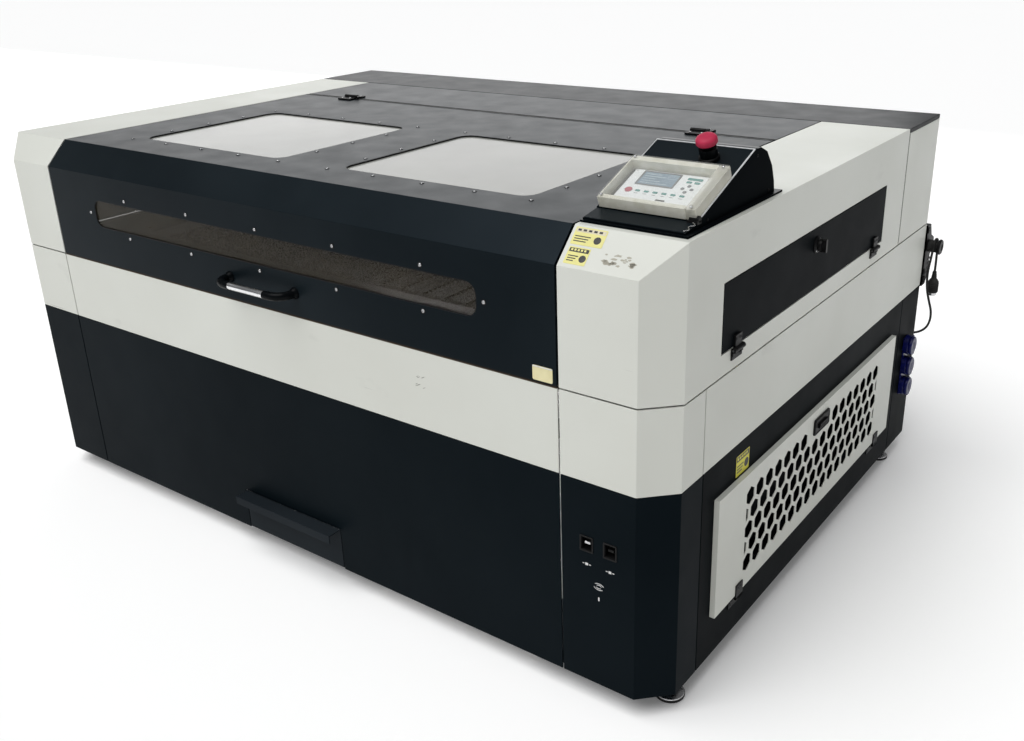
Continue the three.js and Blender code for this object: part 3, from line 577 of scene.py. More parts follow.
def add_plug():
    """A round connector: a ribbed body, a bare metal tip and a tapered strain relief."""
    body = [(12.2, 8), (13.6, 10)]
    for rib in range(5):
        low = 12 + rib * 5
        body += [(14, low), (14, low + 3), (13.1, low + 3.6), (13.1, low + 4.6)]
    body += [(13.6, 38), (10, 44), (7.4, 47)]
    for rib in range(5):
        low = 48 + rib * 3.4
        body += [(7 - rib * 0.4, low), (7 - rib * 0.4, low + 2), (5.2, low + 2.4), (5.2, low + 3)]
    body += [(4.4, PLUG_LENGTH - 0.4)]
    tip = [(9.4, 0.3), (10.2, 1), (10.2, 9), (8.8, 9), (8.4, 1.6), (0, 1.6)]
    return piece("cord_connector", "root",
                 [(moved(lathe(body, 28), *PLUG), RUBBER), (moved(lathe(tip, 24), *PLUG), STEEL)],
                 replaces=["cord_plug"])


def add_gland():
    """A threaded gland with its hexagon nut and a ridged, tapered sleeve."""
    body = [(8, -8), (8, 1), (12.6, 1), (13, 2), (13, 8), (11, 9)]
    for ridge in range(4):
        low = 10 + ridge * 2.6
        body += [(8.4 - ridge * 1.1, low), (8.4 - ridge * 1.1, low + 1.5), (5.2 - ridge * 0.4, low + 1.8)]
    body += [(3.9, 21), (3.1, 21), (3.1, -8)]
    nut = hex_nut(GLAND + Y * 0.3, Y, 15.5, 6)
    piece("cord_gland_sleeve", "root",
          [(placed(lathe(body, 24, closed=True), facing(GLAND, Y)), RUBBER), (nut, BLACK)],
          replaces=["cord_gland"])


def add_cord(plug):
    path = [MACHINE @ p for p in curved(CORD_ROUTE, 5)]
    line = bpy.data.curves.new("cord", "CURVE")
    line.dimensions = "3D"
    line.bevel_depth = CORD_RADIUS * MM
    line.bevel_resolution = 3
    line.use_fill_caps = True
    spline = line.splines.new("POLY")
    spline.points.add(len(path) - 1)
    for spot, point in zip(spline.points, path):
        spot.co = (*point, 1)
    line.materials.append(RUBBER)
    cord = bpy.data.objects.new("thin_cord", line)
    bpy.context.scene.collection.objects.link(cord)
    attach(cord, "root")
    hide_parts("cord_lead")


add_gland()
add_cord(add_plug())


# ---- the cabinet's CAD nodes ----
def dress_cabinet():
    for node in ("lid_shell", "top_bridge", "base_frame"):
        dress(node, NAVY, 1.0)
    # Painted shade: the front panels and posts take the darker front copy of the navy, and the sides the
    # darker side copy. Painted light: the drawer takes the lighter copy.
    for node in ("lower_front_panel", "front_post_left", "front_post_right"):
        dress(node, NAVY_FRONT_PAINTED_SHADE, 1.0)
    dress("debris_drawer", NAVY_LIP_PAINTED_LIGHT, 1.0)
    for node in ("side_panel_left", "side_panel_right", "rear_panel", "pass_door"):
        dress(node, NAVY_SIDE_PAINTED_SHADE, 1.0)
    dress("rear_cover", CHARCOAL, 1.2)
    for node in ("band_front", "band_corner_left", "band_corner_right", "band_left", "band_right",
                 "band_rear", "cap_left", "cap_right", "rear_shroud", "work_deck", "vent_door"):
        dress(node, WHITE, 1.0)
    dress("console_housing", CONSOLE_BLACK, 1.6)
    dress("cord_hook", BLACK, 0.6)
    dress("exhaust_collar", STEEL, 0.5)
    dress("front_window", AMBER, 0.4)
    for side in ("left", "right"):
        # the top windows' pale grey is painted reflection
        dress(f"top_window_{side}", TOP_WINDOW_PAINTED_REFLECTION, 0.5)
        dress(f"y_rail_{side}", ALUMINIUM, 0.8)
    dress("tube_cradle", ALUMINIUM, 0.6)
    dress("power_supply", CHARCOAL, 1.0)
    dress("motion_controller", BLACK, 1.0)


dress_cabinet()


def add_feet():
    """A levelling foot: a rubber pad, a steel cup, a lock nut and a threaded stud."""
    pad = [(0, 0), (27, 0), (29.5, 2), (29.5, 6), (28, 7.5), (0, 7.5)]
    cup = [(28.5, 7), (28, 9), (18, 15), (10.5, 17.5), (0, 17.5)]
    for corner in CORNERS:
        node = f"foot_{corner}"
        low, high = extent(node)
        stud = [(0, 17)]
        for turn in range(14):
            stud += [(6.2, 17.4 + turn * 2), (7.4, 18.4 + turn * 2)]
        stud += [(6.2, high.z), (0, high.z)]
        layers = [(lathe(pad, 32), RUBBER), (lathe(cup, 32), STEEL), (lathe(stud, 18), STEEL),
                  (hex_nut((0, 0, 30), Z, 13, 8), STEEL)]
        piece(f"levelling_{node}", "root", shifted(layers, (low + high).x / 2, (low + high).y / 2),
              replaces=[node])


def add_seal_strip():
    """The foam strip that the closed lid rests against, and thin rubber along the bridge and the shroud."""
    end = LID[1].x
    foam = joined(block(-end, end, 0.2, 4.6, BAND_TOP + 0.05, BAND_TOP + 1.9),
                  block(-end, end, 5, 17, BAND_TOP - 3, BAND_TOP + 4))
    dark = block(-end, end, 1.2, 5, BAND_TOP + 1.9, BAND_TOP + 4.7)
    piece("lid_seal", "root", [(foam, FOAM), (dark, BLACK)])
    gap = extent("cap_right")[1].y
    for side, name in SIDES:
        x0, x1 = sorted((side * (HALF - 1.5), side * (HALF - 3.5)))
        piece(f"shroud_seal_{name}", "root",
              [(block(x0, x1, gap + 0.3, gap + 6.6, BAND_TOP + 4, TOP - 11), BLACK)])
    front = extent("top_bridge")[0].y
    for name, body, start, stop in (("bridge_seal", "root", 1.5, 7), ("lid_rear_seal", "lid", -12, -5)):
        strip = block(-end, end, front + start, front + stop, TOP, TOP + 0.5)
        piece(name, body, [(strip, BLACK)])


# ---- windows ----
FRONT_WINDOW = {"half": 590, "low": BASE + 694, "high": BASE + 762, "radius": 24}
TOP_WINDOW = {"inner": 94, "outer": 592, "front": 164, "rear": 585, "radius": 34}
SCREW_MARGIN = 17


def window_trim(name, centre, normal, width, height, radius):
    """A thin dark edge inside a window's cut-out."""
    ring = border(width + 1, height + 1, radius, 3, -3.4, -0.4, 8)
    piece(name, "lid", [(placed(ring, facing(centre, normal, Z)), BLACK)], 0.4)


def screw_set(name, body, spots, normal, radius=3.6):
    """Button heads on dark washers."""
    screws = joined(*(dome_screw(spot, normal, radius) for spot in spots))
    rings = joined(*(washer(spot, normal, radius * 1.55) for spot in spots))
    piece(name, body, [(screws, STEEL), (rings, BLACK)])


def add_windows():
    low, high = FRONT_WINDOW["low"], FRONT_WINDOW["high"]
    middle = (low + high) / 2
    window_trim("front_window_trim", (0, 0, middle), -Y, 2 * FRONT_WINDOW["half"], high - low,
                FRONT_WINDOW["radius"])
    spots = [(x, -0.1, z) for z in (low - 11, high + 11) for x in (-460, -230, 0, 230, 460)]
    spots += [(side * (FRONT_WINDOW["half"] + SCREW_MARGIN), -0.1, middle) for side, _ in SIDES]
    screw_set("front_window_screws", "lid", spots, -Y)
    inner, outer = TOP_WINDOW["inner"] - SCREW_MARGIN, TOP_WINDOW["outer"] + SCREW_MARGIN
    front, rear = TOP_WINDOW["front"] - SCREW_MARGIN, TOP_WINDOW["rear"] + SCREW_MARGIN
    across = [(inner + i * (outer - inner) / 4, y) for i in range(5) for y in (front, rear)]
    along = [(x, front + i * (rear - front) / 4) for i in range(1, 4) for x in (inner, outer)]
    for side, name in SIDES:
        centre = (side * (inner + outer) / 2, (front + rear) / 2, TOP)
        window_trim(f"top_window_trim_{name}", centre, Z, outer - inner - 2 * SCREW_MARGIN,
                    rear - front - 2 * SCREW_MARGIN, TOP_WINDOW["radius"])
        spots = [(side * x, y, TOP + 0.1) for x, y in across + along]
        screw_set(f"top_window_screws_{name}", "lid", spots, Z, 3.2)


# ---- lid fittings ----
LID_HINGES = (-575, 575)
LID_PIVOT = Vector((0, LID[1].y - 5, TOP + 5.5))


def hinge_barrel(centre, along, spans, radius=5.2):
    """The barrel's knuckles, as spans along its axis."""
    return joined(*(rod(centre + along * a, centre + along * b, radius, 20) for a, b in spans))


def hinge_leaf(name, body, pivot, lift, rows, tabs, knuckles, pins=()):
    """One leaf of a lid hinge: a plate, tabs up to the pivot, knuckles and screws. Spans count from it:
    rows are the plate's, the tabs' and the screws' along y, and tabs and knuckles lie along x."""
    x, y = pivot.x, pivot.y
    plate, tab, screw = rows
    shape = joined(tile(x - 25, x + 25, y + plate[0], y + plate[1], TOP + lift, TOP + lift + 4, 4),
                   *(block(x + a, x + b, y + tab[0], y + tab[1], TOP + 1, TOP + 5) for a, b in tabs),
                   hinge_barrel(pivot, X, knuckles))
    screws = joined(*(dome_screw((x + dx, y + screw, TOP + lift + 4), Z, 3.2) for dx in (-15, 15)))
    piece(name, body, [(shape, BLACK), (screws, STEEL), *pins], 0.5)


def add_lid_hinges():
    for (_, name), x in zip(SIDES, LID_HINGES):
        pivot = LID_PIVOT + X * x
        hinge_leaf(f"lid_hinge_leaf_{name}", "lid", pivot, 0.3, ((-34, -5), (-7, -2), -21),
                   [(-14, 14)], [(-14, 14)])
        pin = rod(pivot - X * 27, pivot + X * 27, 2.2, 12)
        hinge_leaf(f"bridge_hinge_leaf_{name}", "root", pivot, 0.2, ((7, 34), (1, 9), 21),
                   [(-25, -15), (15, 25)], [(-25, -14.4), (14.4, 25)], [(pin, BRIGHT)])


def add_handle():
    """A bright grip between two black curved ends."""
    middle = (HANDLE[0].z + HANDLE[1].z) / 2
    reach = HANDLE[0].y + 9
    grip = rod((-58, reach, middle), (58, reach, middle), 8, 28, 1)
    layers = [(grip, BRIGHT)]
    for side in (-1, 1):
        path = curved([(side * 103, 0.2, middle), (side * 103, -12, middle), (side * 98, reach + 13, middle),
                       (side * 84, reach + 3, middle), (side * 66, reach, middle),
                       (side * 56, reach, middle)], 5)
        foot = placed(lathe([(0, 0), (13, 0), (13, 2), (10.5, 6), (9.2, 10)], 24),
                      facing((side * 103, -0.1, middle), -Y))
        layers += [(pipe(path, 9.2, 18), GLOSS_BLACK), (foot, GLOSS_BLACK)]
    piece("handle_grip", "lid", layers, replaces=["lid_handle"])


def add_lid_tab():
    """A small cream tab stuck on the lid's lower right corner."""
    right = LID[1].x - 8
    tab = placed(prism(rounded(43, 28, 3), 0, 0.8), facing((right - 21, 0, 664), -Y))
    fold = block(right - 42, right, -1.2, -0.2, 675.5, 677.5)
    piece("lid_tab", "lid", [(tab, CREAM), (fold, WHITE_INK)], 0.2)


# ---- side doors ----
def side_hinge(name, body, y, pivot, leaf, drop, half):
    """A small door hinge. The door's leaf, (inner face, top), goes up from the pivot and is 2 * half wide.
    The cabinet's leaf goes `drop` down."""
    centre = Vector((pivot.x, y, pivot.z))
    face, top = leaf
    door = joined(block(face, face + 3.2, y - half, y + half, pivot.z - 3.6, top),
                  block(pivot.x - 2, face + 3.2, y - half, y + half, pivot.z - 3.6, pivot.z + 1.6),
                  hinge_barrel(centre, Y, [(-half, half)], 5.3))
    screws = joined(*(dome_screw((face + 3.2, y + dy, top - 8), X, 3) for dy in (-7, 7)))
    piece(f"{name}_door_leaf", body, [(door, BLACK), (screws, DARK_STEEL)], 0.5)
    low, end = pivot.z - drop, half + 8
    cabinet = joined(block(HALF + 0.2, HALF + 3, y - end, y + end, low, pivot.z - 10.4),
                     block(HALF + 0.2, pivot.x, y - end, y - half - 0.6, pivot.z - 11, pivot.z + 2),
                     block(HALF + 0.2, pivot.x, y + half + 0.6, y + end, pivot.z - 11, pivot.z + 2),
                     hinge_barrel(centre, Y, [(-end, -half - 0.5), (half + 0.5, end)], 5.3))
    screws = joined(*(dome_screw((HALF + 3, y + dy, low + 6), X, 2.6) for dy in (-14, 14)))
    pin = rod(centre - Y * (end + 1.4), centre + Y * (end + 1.4), 2, 12)
    piece(f"{name}_cabinet_leaf", "root",
          [(cabinet, BLACK), (screws, DARK_STEEL), (pin, DARK_STEEL)], 0.5)


PASS_PIVOT = Vector((HALF + 5, 0, PASS[0].z + 4.5))
PASS_HINGES = ((244, "front"), (945, "rear"))
VENT_PIVOT = Vector((HALF + 5.5, 0, VENT[0].z + 4.5))
VENT_HINGES = ((287, "front"), (1070, "rear"))
KNOB_RADIUS = 16


def add_door_hinges():
    for y, name in PASS_HINGES:
        side_hinge(f"pass_{name}", "pass_door", y, PASS_PIVOT, (HALF + 2.2, PASS_PIVOT.z + 27), 19, 12.6)
    for y, name in VENT_HINGES:
        side_hinge(f"vent_{name}", "vent_door", y, VENT_PIVOT, (HALF + 11.4, VENT_PIVOT.z + 29), 26, 14.6)


def add_pass_knob():
    """A quarter-turn catch: a rosette, a round boss with a finger bar, and the cam inside."""
    low, high = extent("pass_knob")
    centre = Vector((HALF, (low.y + high.y) / 2, low.z + KNOB_RADIUS))
    rosette = [(0, 0.3), (17, 0.3), (17, 2), (15, 4.5), (11.5, 6), (0, 6)]
    boss = [(0, 5), (11.5, 5), (11.8, 9), (10.6, 13), (0, 14)]
    turn = facing(centre, X)
    bar = placed(tile(-4, 4, -14, 14, 8, 21.5, 3.6, 5), turn)
    shaft = rod(centre - X * 7, centre + X * 2, 4.8, 14)
    cam = block(low.x, low.x + 3, centre.y - 8, centre.y + 8, centre.z - 8, centre.z + 30)
    screws = [dome_screw(turn @ Vector((x, y, 4)), X, 2) for x, y, _ in circle(13.6, 2, 0, 0.8)]
    piece("pass_catch", "pass_knob",
          [*turned([(lathe(rosette, 32), BLACK), (lathe(boss, 28), BLACK)], turn), (bar, BLACK),
           (joined(*screws), STEEL), (shaft, STEEL), (cam, STEEL)], 0.5,
          replaces=["pass_knob"])


def add_vent_latch():
    """A slide latch: a rounded plate with a rim, a ridged thumb bar and two screws."""
    low, high = extent("vent_latch")
    wide, tall = high.y - low.y, high.z - low.z
    turn = facing((low.x, (low.y + high.y) / 2, (low.z + high.z) / 2), X)
    base = placed(prism(rounded(wide, tall, 5), 0, 3.4), turn)
    rim = placed(border(wide - 4, tall - 4, 4, 2, 3, 4.4), turn)
    bars = joined(*(placed(tile(-24, 24, -5.2 + i * 3.8, -3 + i * 3.8, 3, 8.6, 0.9, 2), turn)
                    for i in range(3)))
    screws = [dome_screw(turn @ Vector((u, 0, 3.4)), X, 2.6) for u in (-33, 33)]
    piece("vent_slide", "vent_latch",
          [(joined(base, rim, bars), BLACK), (joined(*screws), DARK_STEEL)], 0.4, replaces=["vent_latch"])


# ---- console ----
FACE_TILT = atan(0.393)
FACE = Matrix.Translation((0, 128, TOP + 19.5)) @ Matrix.Rotation(FACE_TILT, 4, "X")
ESTOP = Vector(((extent("estop_button")[0].x + extent("estop_button")[1].x) / 2, 164, 0))
GUARD = extent("clear_cover")


def on_face(*layers):
    """Layers drawn flat, (x, up the slope, off the face), laid on the console's face."""
    return turned(layers, FACE)


def add_console_trim():
    face = block(770, 960, -8, 206.5, 0.06, 0.45)
    step = side_prism([(77, TOP + 7.2), (118, TOP + 13.9), (118, TOP + 14.8), (77, TOP + 8.1)], 770, 958)
    edges = joined(block(959.6, 962.3, 2, 208.6, 0.1, 1.5), block(768, 962.3, 206.3, 208.9, 0.1, 1.5),
                   block(767.7, 769.4, 0, 208.6, 0.1, 0.9))
    piece("console_face", "root", [*on_face((face, NAVY)), (step, NAVY)], 0.15)
    # The pale strips along the console face's edges are painted highlight.
    piece("console_edging", "root", on_face((edges, EDGE_PAINTED_HIGHLIGHT)), 0.3)
    zigzag = [(956, 80, TOP + 9), (962, 88, TOP + 10.5), (956, 97, TOP + 12), (963, 106, TOP + 13.6),
              (956, 112, TOP + 15.2), (953, 117, TOP + 17)]
    hinge = joined(rod((946, 121, TOP + 19), (964, 121, TOP + 19), 6, 18),
                   block(944, 964, 112, 126, TOP + 12, TOP + 18))
    piece("console_front_catch", "root",
          [(pipe(curved(zigzag, 3), 0.9, 8), BRIGHT), (hinge, BLACK)], 0.5)
    screws = joined(*(dome_screw((962.2, y, z), X, 2.6) for y, z in
                      ((150, TOP + 12), (385, TOP + 12), (330, TOP + 84))))
    piece("console_side_screws", "root", [(screws, BLACK)])


def add_keypad():
    """A membrane keypad: a display in a raised bezel, a round stop key and small flat keys."""
    low_x, high_x = KEYS[0].x, KEYS[1].x
    base = tile(low_x, high_x, 3, 103, 0.6, 6, 4)
    film = tile(low_x + 3, high_x - 3, 6, 100, 6, 6.5, 3)
    bezel = moved(border(74, 42, 2, 3, 6.4, 7.6), 842.5, 79)
    glass = tile(808.5, 876.5, 60.5, 97.5, 6.3, 6.9, 1)
    rows = [tile(812, 812 + width, up, up + 2.2, 6.85, 6.97, 0.6, 2)
            for up, width in ((91, 30), (84.5, 42), (78, 24), (71.5, 36), (65, 52))]
    gauge = [moved(border(16, 12, 1, 0.9, 6.85, 6.97, 2), 865, 89)]
    stop = [lathe([(0, 6.4), (6, 6.4), (6, 7.2), (5.4, 7.7), (0, 7.9)], 28),
            lathe([(6.6, 6.4), (7.2, 6.4), (7.2, 7.3), (6.6, 7.3)], 28, closed=True)]
    stop = [moved(shape, 804, 41) for shape in stop]
    keys = [tile(x - 4.6, x + 4.6, 38.6, 43.4, 6.4, 7.4, 1.6) for x in range(822, 912, 17)]
    marks = [tile(x - 3.6, x + 3.6, 33.4, 34.6, 6.45, 6.6, 0.5, 2) for x in range(822, 912, 17)]
    arrows = [moved(lathe([(0, 6.4), (3.6, 6.4), (3.6, 7.1), (3.2, 7.4), (0, 7.4)], 18), x, up)
              for x, up in ((897, 62), (914, 62), (905.5, 71), (905.5, 53))]
    wide = [tile(893, 921, 88, 94, 6.4, 7.4, 1.8), tile(895, 905, 79, 84, 6.4, 7.4, 1.4),
            tile(910, 920, 79, 84, 6.4, 7.4, 1.4)]
    foot = [tile(866, 884, 20, 24, 6.4, 6.7, 1, 2), tile(792, 826, 14, 16, 6.4, 6.6, 0.8, 2)]
    pads = [dome_screw((x, up, 6.1), Z, 2) for x in (low_x + 5, high_x - 5) for up in (8, 98)]
    layers = [(base, KEYPAD_WHITE), (film, PALE_FILM), (bezel, GREY_CASE), (glass, LCD),
              (joined(*rows, *gauge), LCD_INK), (joined(*stop), RED), (joined(*keys), TEAL),
              (joined(*marks, *foot), DARK_INK), (joined(*arrows), GREY_CASE), (joined(*wide), TEAL),
              (joined(*pads), STEEL)]
    piece("keypad_panel", "root", on_face(*layers), 0.15, replaces=["keypad"])


def add_clear_cover():
    """A hinged box of clear sheet over the keypad, with thick, cloudy edge bars."""
    left, right = GUARD[0].x, GUARD[1].x
    low, high, top = -10, 120, 24
    sheet = tile(left, right, low, high, top - 2.5, top, 3)
    right_bar = tile(right - 20, right, low, high, 1, top - 2.6, 2)
    thin_bar = block(left, left + 2.5, low, high, 1, top - 2.6)
    lower_bar = tile(left, right - 20.2, low, low + 10, 1, top - 2.6, 2)
    upper_bar = tile(left, right - 20.2, high - 13, high, 1, top - 2.6, 2)
    corners = [(left + 6, low + 5), (right - 10, low + 5), (left + 6, high - 6), (right - 10, high - 6)]
    screws = joined(*(dome_screw((x, up, top), Z, 2.8) for x, up in corners))
    layers = [(sheet, COVER_TOP), (right_bar, YELLOWED), (joined(lower_bar, thin_bar), CLOUDY),
              (upper_bar, CLOUDY), (screws, STEEL)]
    piece("keypad_cover", "clear_cover", on_face(*layers), 0.5, replaces=["clear_cover"])
    gasket = tile(left + 4, KEYS[0].x - 2, 8, 98, 0.5, 4, 2)
    piece("keypad_side_gasket", "root", on_face((gasket, RUBBER)), 0.3)


def add_estop():
    """A mushroom head with three raised twist marks, on a black knurled collar."""
    head = [(0, 31.5), (12, 31.5), (17.6, 32.5), (19.2, 34.5), (19.2, 39)]
    head += [(19.2 * cos(a) ** 0.5, 39 + 8.5 * sin(a)) for a in (radians(d) for d in range(8, 90, 9))]
    head += [(0, 47.5)]
    stem = [(0, 8), (8, 8), (8, 32), (0, 32)]
    marks = joined(*(pipe([(u, v, 46) for u, v in arc(12.4, turn, turn + 56, 8)], 0.6, 8)
                     for turn in (0, 120, 240)))
    button = [(lathe(head, 44), RED), (marks, WHITE_INK), (lathe(stem, 20), BLACK)]
    move = FACE @ Matrix.Translation(ESTOP)
    piece("stop_button", "estop_button", turned(button, move), replaces=["estop_button"])
    knurl = loft([notched(radius, height, 0.5, 60, 1) for radius, height in
                  ((16, 0.6), (18.6, 0.6), (18.6, 7), (16.8, 8.5), (15.1, 8.5))])
    sleeve = lathe([(15.1, 0.5), (16, 0.5), (16, 23), (15.6, 24.4), (10, 24.4), (10, 23.4), (15.1, 23.4)],
                   36, closed=True)
    piece("stop_collar", "root", turned([(knurl, BLACK), (sleeve, GLOSS_BLACK)], move))


# ---- small printed things ----
def caution_label(name, origin, normal, width, height, ground, heading, ink):
    """A plain label: a heading bar, blank lines and a round spot. It says nothing."""
    w, h = width / 2, height / 2
    film = tile(-w, w, -h, h, 0, 0.3, 1.5, 2)
    bar = tile(-w + 2, w - 2, h * 0.42, h - 2, 0.25, 0.4, 0.8, 2)
    dashes = [tile(-w + 5 + i * (width - 10) / 5, -w + 5 + (i + 0.62) * (width - 10) / 5,
                   h * 0.56, h * 0.8, 0.35, 0.45, 0.5, 2) for i in range(5)]
    lines = [tile(-w + 4, w * 0.12 - i * 3, -h * 0.1 - i * h * 0.28, -h * 0.1 - i * h * 0.28 + h * 0.12,
                  0.25, 0.36, 0.4, 2) for i in range(3)]
    disc = moved(lathe([(0, 0.25), (h * 0.42, 0.25), (h * 0.42, 0.4), (0, 0.4)], 20), w * 0.58, -h * 0.25)
    layers = [(film, ground), (bar, heading), (joined(*dashes), ink), (joined(*lines, disc), DARK_INK)]
    piece(name, "root", turned(layers, facing(origin, normal)))


def add_labels():
    up_slope = Vector((0, 1, 1)).normalized()
    normal = Vector((0, -1, 1)).normalized()
    foot = Vector((0, 0, SLOPE)) + normal * 0.1
    caution_label("cap_label_upper", foot + X * 803 + up_slope * 60, normal, 62, 33, YELLOW_FILM,
                  BEIGE_FILM, DARK_INK)
    caution_label("cap_label_lower", foot + X * 796 + up_slope * 23, normal, 42, 32, YELLOW_FILM,
                  DARK_INK, YELLOW_FILM)
    caution_label("vent_label", (HALF + 0.1, 300, 428), X, 56, 44, LIME_FILM, DARK_INK, LIME_FILM)
    rng = random.Random(7)
    flakes = []
    for _ in range(34):
        across, up = rng.uniform(845, 905), rng.uniform(18, 38)
        radius = rng.uniform(0.8, 3.4)
        sides = 9
        ring = [(radius * rng.uniform(0.5, 1.3) * cos(2 * pi * i / sides) * 2.2,
                 radius * rng.uniform(0.5, 1.3) * sin(2 * pi * i / sides)) for i in range(sides)]
        flakes.append(placed(prism(ring, 0, 0.12), facing(foot + X * across + up_slope * up, normal)))
    piece("label_residue", "root", [(joined(*flakes), RESIDUE)])
    dashes = []
    for _ in range(9):
        x, z = rng.uniform(425, 460), rng.uniform(568, 591)
        dash = tile(-rng.uniform(4, 9), 0, -0.6, 0.6, 0, 0.1, 0.3, 2)
        dashes.append(placed(dash, facing((x, 0, z), -Y) @ Matrix.Rotation(0.5, 4, "Z")))
    piece("band_scuffs", "root", [(joined(*dashes), SCUFF)])


def add_ports():
    """Two square sockets in the right post, each with a dash-bar-dash mark, and a round mark below both."""
    for x, name, lit in ((821, "left", STEEL), (871, "right", BLACK)):
        layers = [(border(29, 33, 2, 3.2, -1, 1.4), BLACK), (border(24, 28, 1, 1.5, -14, -0.5), BLACK),
                  (tile(-12, 12, -14, 14, -15, -14, 1), BLACK), (tile(-6, 6, -2, 3, -14, -3, 0.8, 2), lit)]
        piece(f"port_{name}", "root", turned(layers, facing((x, 0, BASE + 305), -Y)), 0.3)
        bars = joined(*(tile(u - w, u + w, -v, v, 0, 0.2, r, 2)
                        for u, w, v, r in ((-7, 2, 0.8, 0.4), (0, 3, 2.6, 0.5), (7, 2, 0.8, 0.4))))
        piece(f"port_mark_{name}", "root",
              turned([(bars, WHITE_INK)], facing((x, 0, BASE + 262), -Y)))
    arcs = [pipe([(u, v * 0.62, 0.15) for u, v in arc(r, start, start + 130, 13)], 0.55, 6)
            for r in (11, 6) for start in (20, 200)]
    drop = moved(tile(-1.4, 1.4, -4, 4, 0, 0.3, 1, 3), 0, -27)
    piece("ground_mark", "root",
          turned([(joined(*arcs, drop), WHITE_INK)], facing((847, -0.02, BASE + 222), -Y)))


# ---- sockets on the rear right post ----
SOCKET_RADIUS = 25


def add_sockets():
    """Three round mains sockets on one plate, each with a sprung flap."""
    low, high = extent("socket_block")
    y = (low.y + high.y) / 2
    mouth, floor = high.x, high.x - 9
    layers = [(block(HALF + 0.3, HALF + 4, y - 18, y + 18, low.z + 4, high.z - 4), BLUE)]
    body = [(SOCKET_RADIUS, HALF + 2), (SOCKET_RADIUS, mouth - 2), (24, mouth - 0.6), (22, mouth),
            (20, mouth), (19, mouth - 1), (19, floor), (0, floor), (0, HALF + 2)]
    well = [(0, floor), (17, floor), (17, floor + 0.5), (0, floor + 0.5)]
    for i in (1, 2, 3):
        node = f"socket_lid_{i}"
        hinged, outer = extent(node)
        start, end, z = hinged.x, outer.x, hinged.z + SOCKET_RADIUS - 0.5
        turn = facing((0, y, z), X)
        pins = [rod(turn @ Vector((u, v, floor)), turn @ Vector((u, v, floor + 6)), 2, 12)
                for u, v in ((-7, 0), (7, 0), (0, -8))]
        layers += [*turned([(lathe(body, 40), BLUE), (lathe(well, 32), BLACK)], turn), (joined(*pins), BRASS)]
        cap = [(0, start), (24, start), (24.4, start + 0.8), (24.4, end - 2.6), (23.2, end - 0.8),
               (20, end), (18.5, end - 0.6), (0, end - 0.6)]
        tab = block(start, start + 4, y - 8, y + 8, z + 18, z + 27)
        lip = placed(tile(-9, 9, -24.4, -18, start + 0.5, end - 0.4, 2.5), turn)
        grip = joined(*(placed(tile(-7, 7, -9 + k * 4, -7.6 + k * 4, end - 0.9, end, 0.6, 2), turn)
                        for k in range(5)))
        piece(f"socket_flap_{i}", node,
              [(joined(placed(lathe(cap, 40), turn), tab, lip, grip), BLUE)], 0.4, replaces=[node])
    piece("socket_row", "root", layers, 0.4, replaces=["socket_block"])


# ---- rear ----
def add_rear_details():
    """The exhaust's guard, louvres, screws, an earth stud and the rear cover's fixed hinge leaves."""
    turn = facing((0, DEPTH, 295), Y)
    loops = [circle(radius, 40, 8) for radius in (18, 34, 50, 66)]
    rings = [pipe(loop + loop[:1], 1.4, 8) for loop in loops]
    spokes = [pipe([(6 * x, 6 * y, 9.4), (75.5 * x, 75.5 * y, 9.4)], 1.6, 8)
              for x, y, _ in circle(1, 4, 0, pi / 4)]
    hub = lathe([(0, 7), (9, 7), (9, 10.4), (0, 10.8)], 24)
    piece("exhaust_guard", "root", [(placed(joined(*rings, *spokes, hub), turn), STEEL)])
    rivets = [dome_screw(turn @ Vector((x, y, 3.3)), Y, 3.4) for x, y, _ in circle(90, 8, 0, 0.39)]
    piece("exhaust_rivets", "root", [(joined(*rivets), STEEL)])
    slats = [side_prism([(DEPTH - 0.4, z - 7), (DEPTH + 6.5, z - 6), (DEPTH + 7, z - 4.6),
                         (DEPTH + 2, z + 5), (DEPTH - 0.4, z + 7)], x - 80, x + 80)
             for x in (-640, -420) for z in range(180, 378, 22)]
    piece("rear_louvres", "root", [(joined(*slats), NAVY)], 0.8)
    edge = [(x, DEPTH, z) for x in (-950, -640, -330, 330, 640) for z in (62, 462)]
    screw_set("rear_panel_screws", "root", edge, Y)
    stud = Vector((780, DEPTH, 110))
    earth = joined(hex_nut(stud, Y, 8, 5), rod(stud, stud + Y * 14, 4, 16), hex_nut(stud + Y * 6, Y, 7, 4))
    piece("earth_stud", "root", [(earth, BRASS)])
    for x, name in ((-700, "left"), (0, "middle"), (700, "right")):
        leaf = block(x - 42, x + 42, DEPTH + 0.3, DEPTH + 2.8, TOP - 52, TOP - 13)
        knuckles = hinge_barrel(Vector((x, DEPTH + 4, TOP - 6)), X, [(-42, -31), (31, 42)], 5)
        arms = joined(*(block(x + a, x + b, DEPTH + 0.3, DEPTH + 5, TOP - 14, TOP - 8)
                        for a, b in ((-42, -31.2), (31.2, 42))))
        screws = [dome_screw((x + dx, DEPTH + 2.8, TOP - 34), Y, 3) for dx in (-26, 0, 26)]
        piece(f"rear_hinge_leaf_{name}", "root",
              [(joined(leaf, knuckles, arms), BLACK), (joined(*screws), STEEL)], 0.4)


